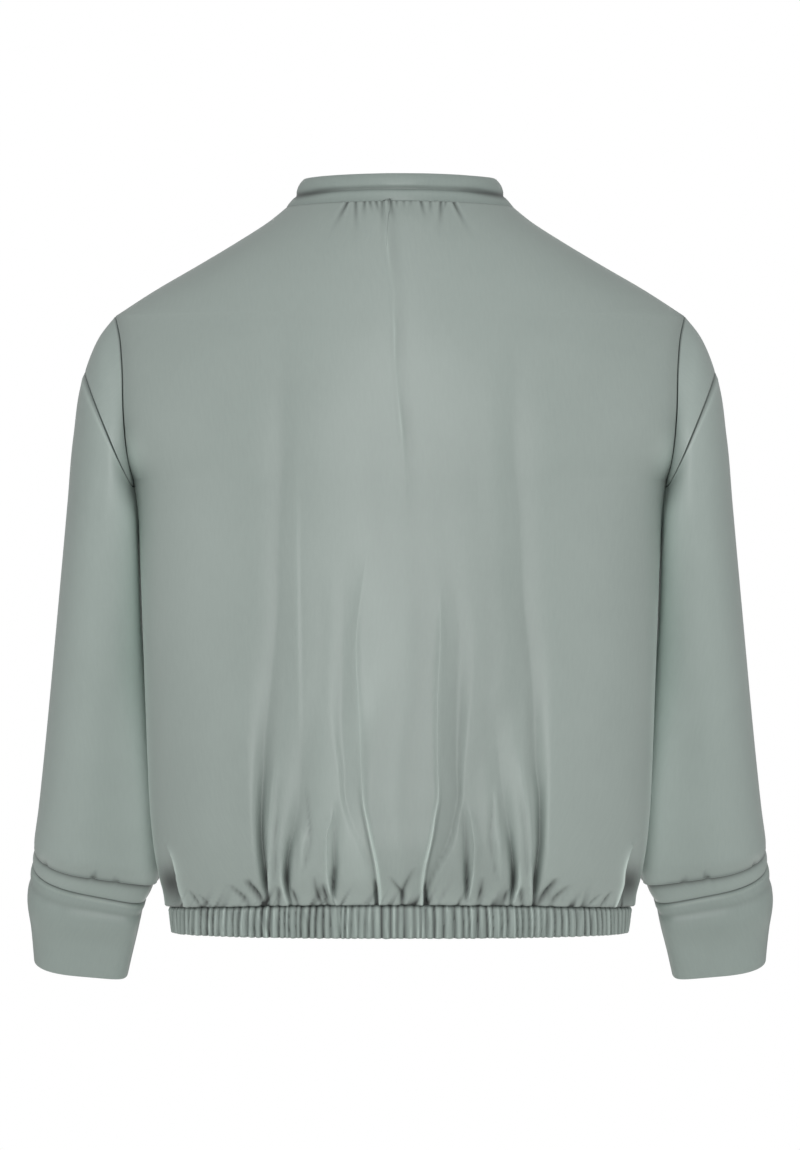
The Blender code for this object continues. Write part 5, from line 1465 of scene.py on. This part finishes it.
# One tooth: a narrow block with a rounded nose past the middle and a wider root on the tape. The outline is
# in millimetres along it and in half heights across it, the layers in half depths and in scale.
toothOutline = ((-0.9, 0.55), (-0.6, 0.95), (0.2, 1.0), (0.9, 0.7), (2.6, 0.85), (2.8, 0.5))
toothLayers = ((-1.0, 0.82), (-0.75, 1.0), (0.75, 1.0), (1.0, 0.82))


# Closed teeth, from the left and the right in turn.
def makeTeeth(line, out):
    run = runAlong(line)
    first, last = zipLook["sliderTop"], run[-1] - zipLook["boxHeight"]
    count = int((last - first) / zipLook["toothPitch"])
    places = first + (np.arange(count) + 0.5) * (last - first) / count
    face = unit(valuesAt(places, run, out))
    down = np.cross(face, acrossZip)
    down = down * -np.sign(down[:, 2:])
    outline = np.array(toothOutline) * (mm, zipLook["toothHeight"] / 2)
    ring = np.concatenate((outline, outline[::-1] * (1, -1)))
    local = np.stack([np.insert(ring * (1, scale), 2, depth * zipLook["toothDepth"] / 2, axis=1)
                      for depth, scale in toothLayers]).reshape(1, -1, 3)
    sign = np.where(np.arange(count) % 2 == 0, 1.0, -1.0)[:, None, None]
    centre = valuesAt(places, run, line) - face * (zipLook["tapeDepth"] + zipLook["tapeCloth"] / 2)
    points = (centre[:, None] + acrossZip * local[..., :1] * sign + down[:, None] * local[..., 1:2]
              + face[:, None] * local[..., 2:])
    mesh = blockCopies("zip_teeth", points, len(toothLayers), len(ring), sign.ravel() < 0)
    mesh.update()
    addPiece(mesh, teethMetal, ("zip_chain",))


zipAt, zipOut = zipLine()
makeTapes(zipAt, zipOut)
makeTeeth(zipAt, zipOut)
stitched = slice(22, -16)
for side, sign in (("right", 1), ("left", -1)):
    line = zipAt + acrossZip * zipLook["stitchAt"] * sign - zipOut * zipLook["stitchDepth"]
    stitchRow(f"zip_stitches_{side}", line[stitched], zipOut[stitched], zipLook["stitchDepth"])
for node in ("zip_box", "zip_slider", "zip_pull"):
    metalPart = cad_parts[node]
    metalPart.data.materials.clear()
    metalPart.data.materials.append(zipMetal)
print("zip made")


studio = {
    "floorZ": -1.45,
    "floorRadius": 3.6,
    "floor": ("#e9e9e7", "#f1f1ef"),
    "ambient": (0.60, 0.33),
    "aim": (0.0, 0.0, -0.33),
    "cameraAway": 5.5,
    "cameraZ": -0.331,
    "frameHeight": 1.035,
}
# Area lights: place, size, power, and whether the cloth mirrors it. The front light only lifts the far
# side and draws no glare.
studioLights = {
    "key_softbox": ((0.0, -5.6, 0.25), 2.0, 72, True),
    "left_softbox": ((-3.9, -3.4, 0.5), 2.2, 14, True),
    "right_softbox": ((3.9, -3.4, 0.5), 2.2, 14, True),
    "top_softbox": ((0.0, -3.0, 2.8), 2.4, 16, True),
    "front_softbox": ((0.0, 4.6, 1.2), 3.0, 150, False),
}


# Matt white paper, so faintly mottled that it reads as one pale ground.
def paper(tree, place, uv, look):
    mottle = noise(tree, place, 6.0, 3.0)
    return {"Roughness": 0.9, "Base Color": colourMix(tree, mottle, *look["floor"])}


# A new object in the scene, which isn't one of the jacket's pieces.
def addObject(name, data):
    holder = bpy.data.objects.new(name, data)
    bpy.context.scene.collection.objects.link(holder)
    return holder


# A round floor made of rings of even steps, its middle closed by one face.
def makeFloor():
    turn = -np.linspace(0, 2 * math.pi, 97)[:-1]
    radii = np.linspace(0.02, 1, 14)[:, None] * studio["floorRadius"]
    flat = np.full((len(radii), len(turn)), studio["floorZ"])
    disc = np.stack((radii * np.cos(turn), radii * np.sin(turn), flat), axis=-1)
    mesh = gridMesh("studio_floor", disc, closedColumns=True, extraFaces=[range(len(turn))])
    mesh.materials.append(makeMaterial("matt_paper_floor", paper, studio))
    addObject("studio_floor", mesh)


# A white surround that gives less light from the front side than from the camera's side, so the cloth
# keeps a soft gradient. The camera itself sees plain white.
def makeSurround():
    world = bpy.data.worlds.new("studio_white")
    bpy.context.scene.world = world
    world.use_nodes = True
    tree = world.node_tree
    tree.nodes.clear()
    around = addNode(tree, "TexCoord").outputs["Generated"]
    far = addNode(tree, "SeparateXYZ", {"Vector": around}).outputs["Y"]
    near, dim = studio["ambient"]
    grade = addNode(tree, "MapRange", {"Value": far, "From Min": -0.1, "From Max": 0.8, "To Min": near,
                                       "To Max": dim}, interpolation_type="SMOOTHSTEP").outputs["Result"]
    seen = addNode(tree, "LightPath").outputs["Is Camera Ray"]
    strength = addNode(tree, "Mix", {"Factor": seen, "A": grade, "B": 1.0}).outputs["Result"]
    background = addNode(tree, "Background", {"Color": (1, 1, 1, 1), "Strength": strength})
    addNode(tree, "OutputWorld", {"Surface": background.outputs["Background"]})


# Each square light is turned about its own place to face the jacket.
def makeLights():
    for name, (place, size, power, mirroredLight) in studioLights.items():
        lamp = bpy.data.lights.new(name, "AREA")
        lamp.shape = "SQUARE"
        lamp.size = size
        lamp.energy = power
        holder = addObject(name, lamp)
        holder.location = place
        holder.visible_glossy = mirroredLight
        x, y, z = np.array(studio["aim"]) - np.array(place)
        holder.rotation_euler = (math.atan2(math.hypot(x, y), -z), 0, math.atan2(x, -y) + math.pi)


# A level camera behind the wearer; its lens takes in the frame's height at the jacket.
def makeCamera():
    camera = bpy.data.cameras.new("camera")
    camera.lens = 36 * studio["cameraAway"] / studio["frameHeight"]
    camera.clip_end = 100
    holder = addObject("camera", camera)
    holder.location = (0.0, -studio["cameraAway"], studio["cameraZ"])
    holder.rotation_euler = (math.pi / 2, 0, 0)
    bpy.context.scene.camera = holder
    bpy.context.scene.view_settings.view_transform = "Standard"


makeFloor()
makeSurround()
makeLights()
makeCamera()
print("studio made")
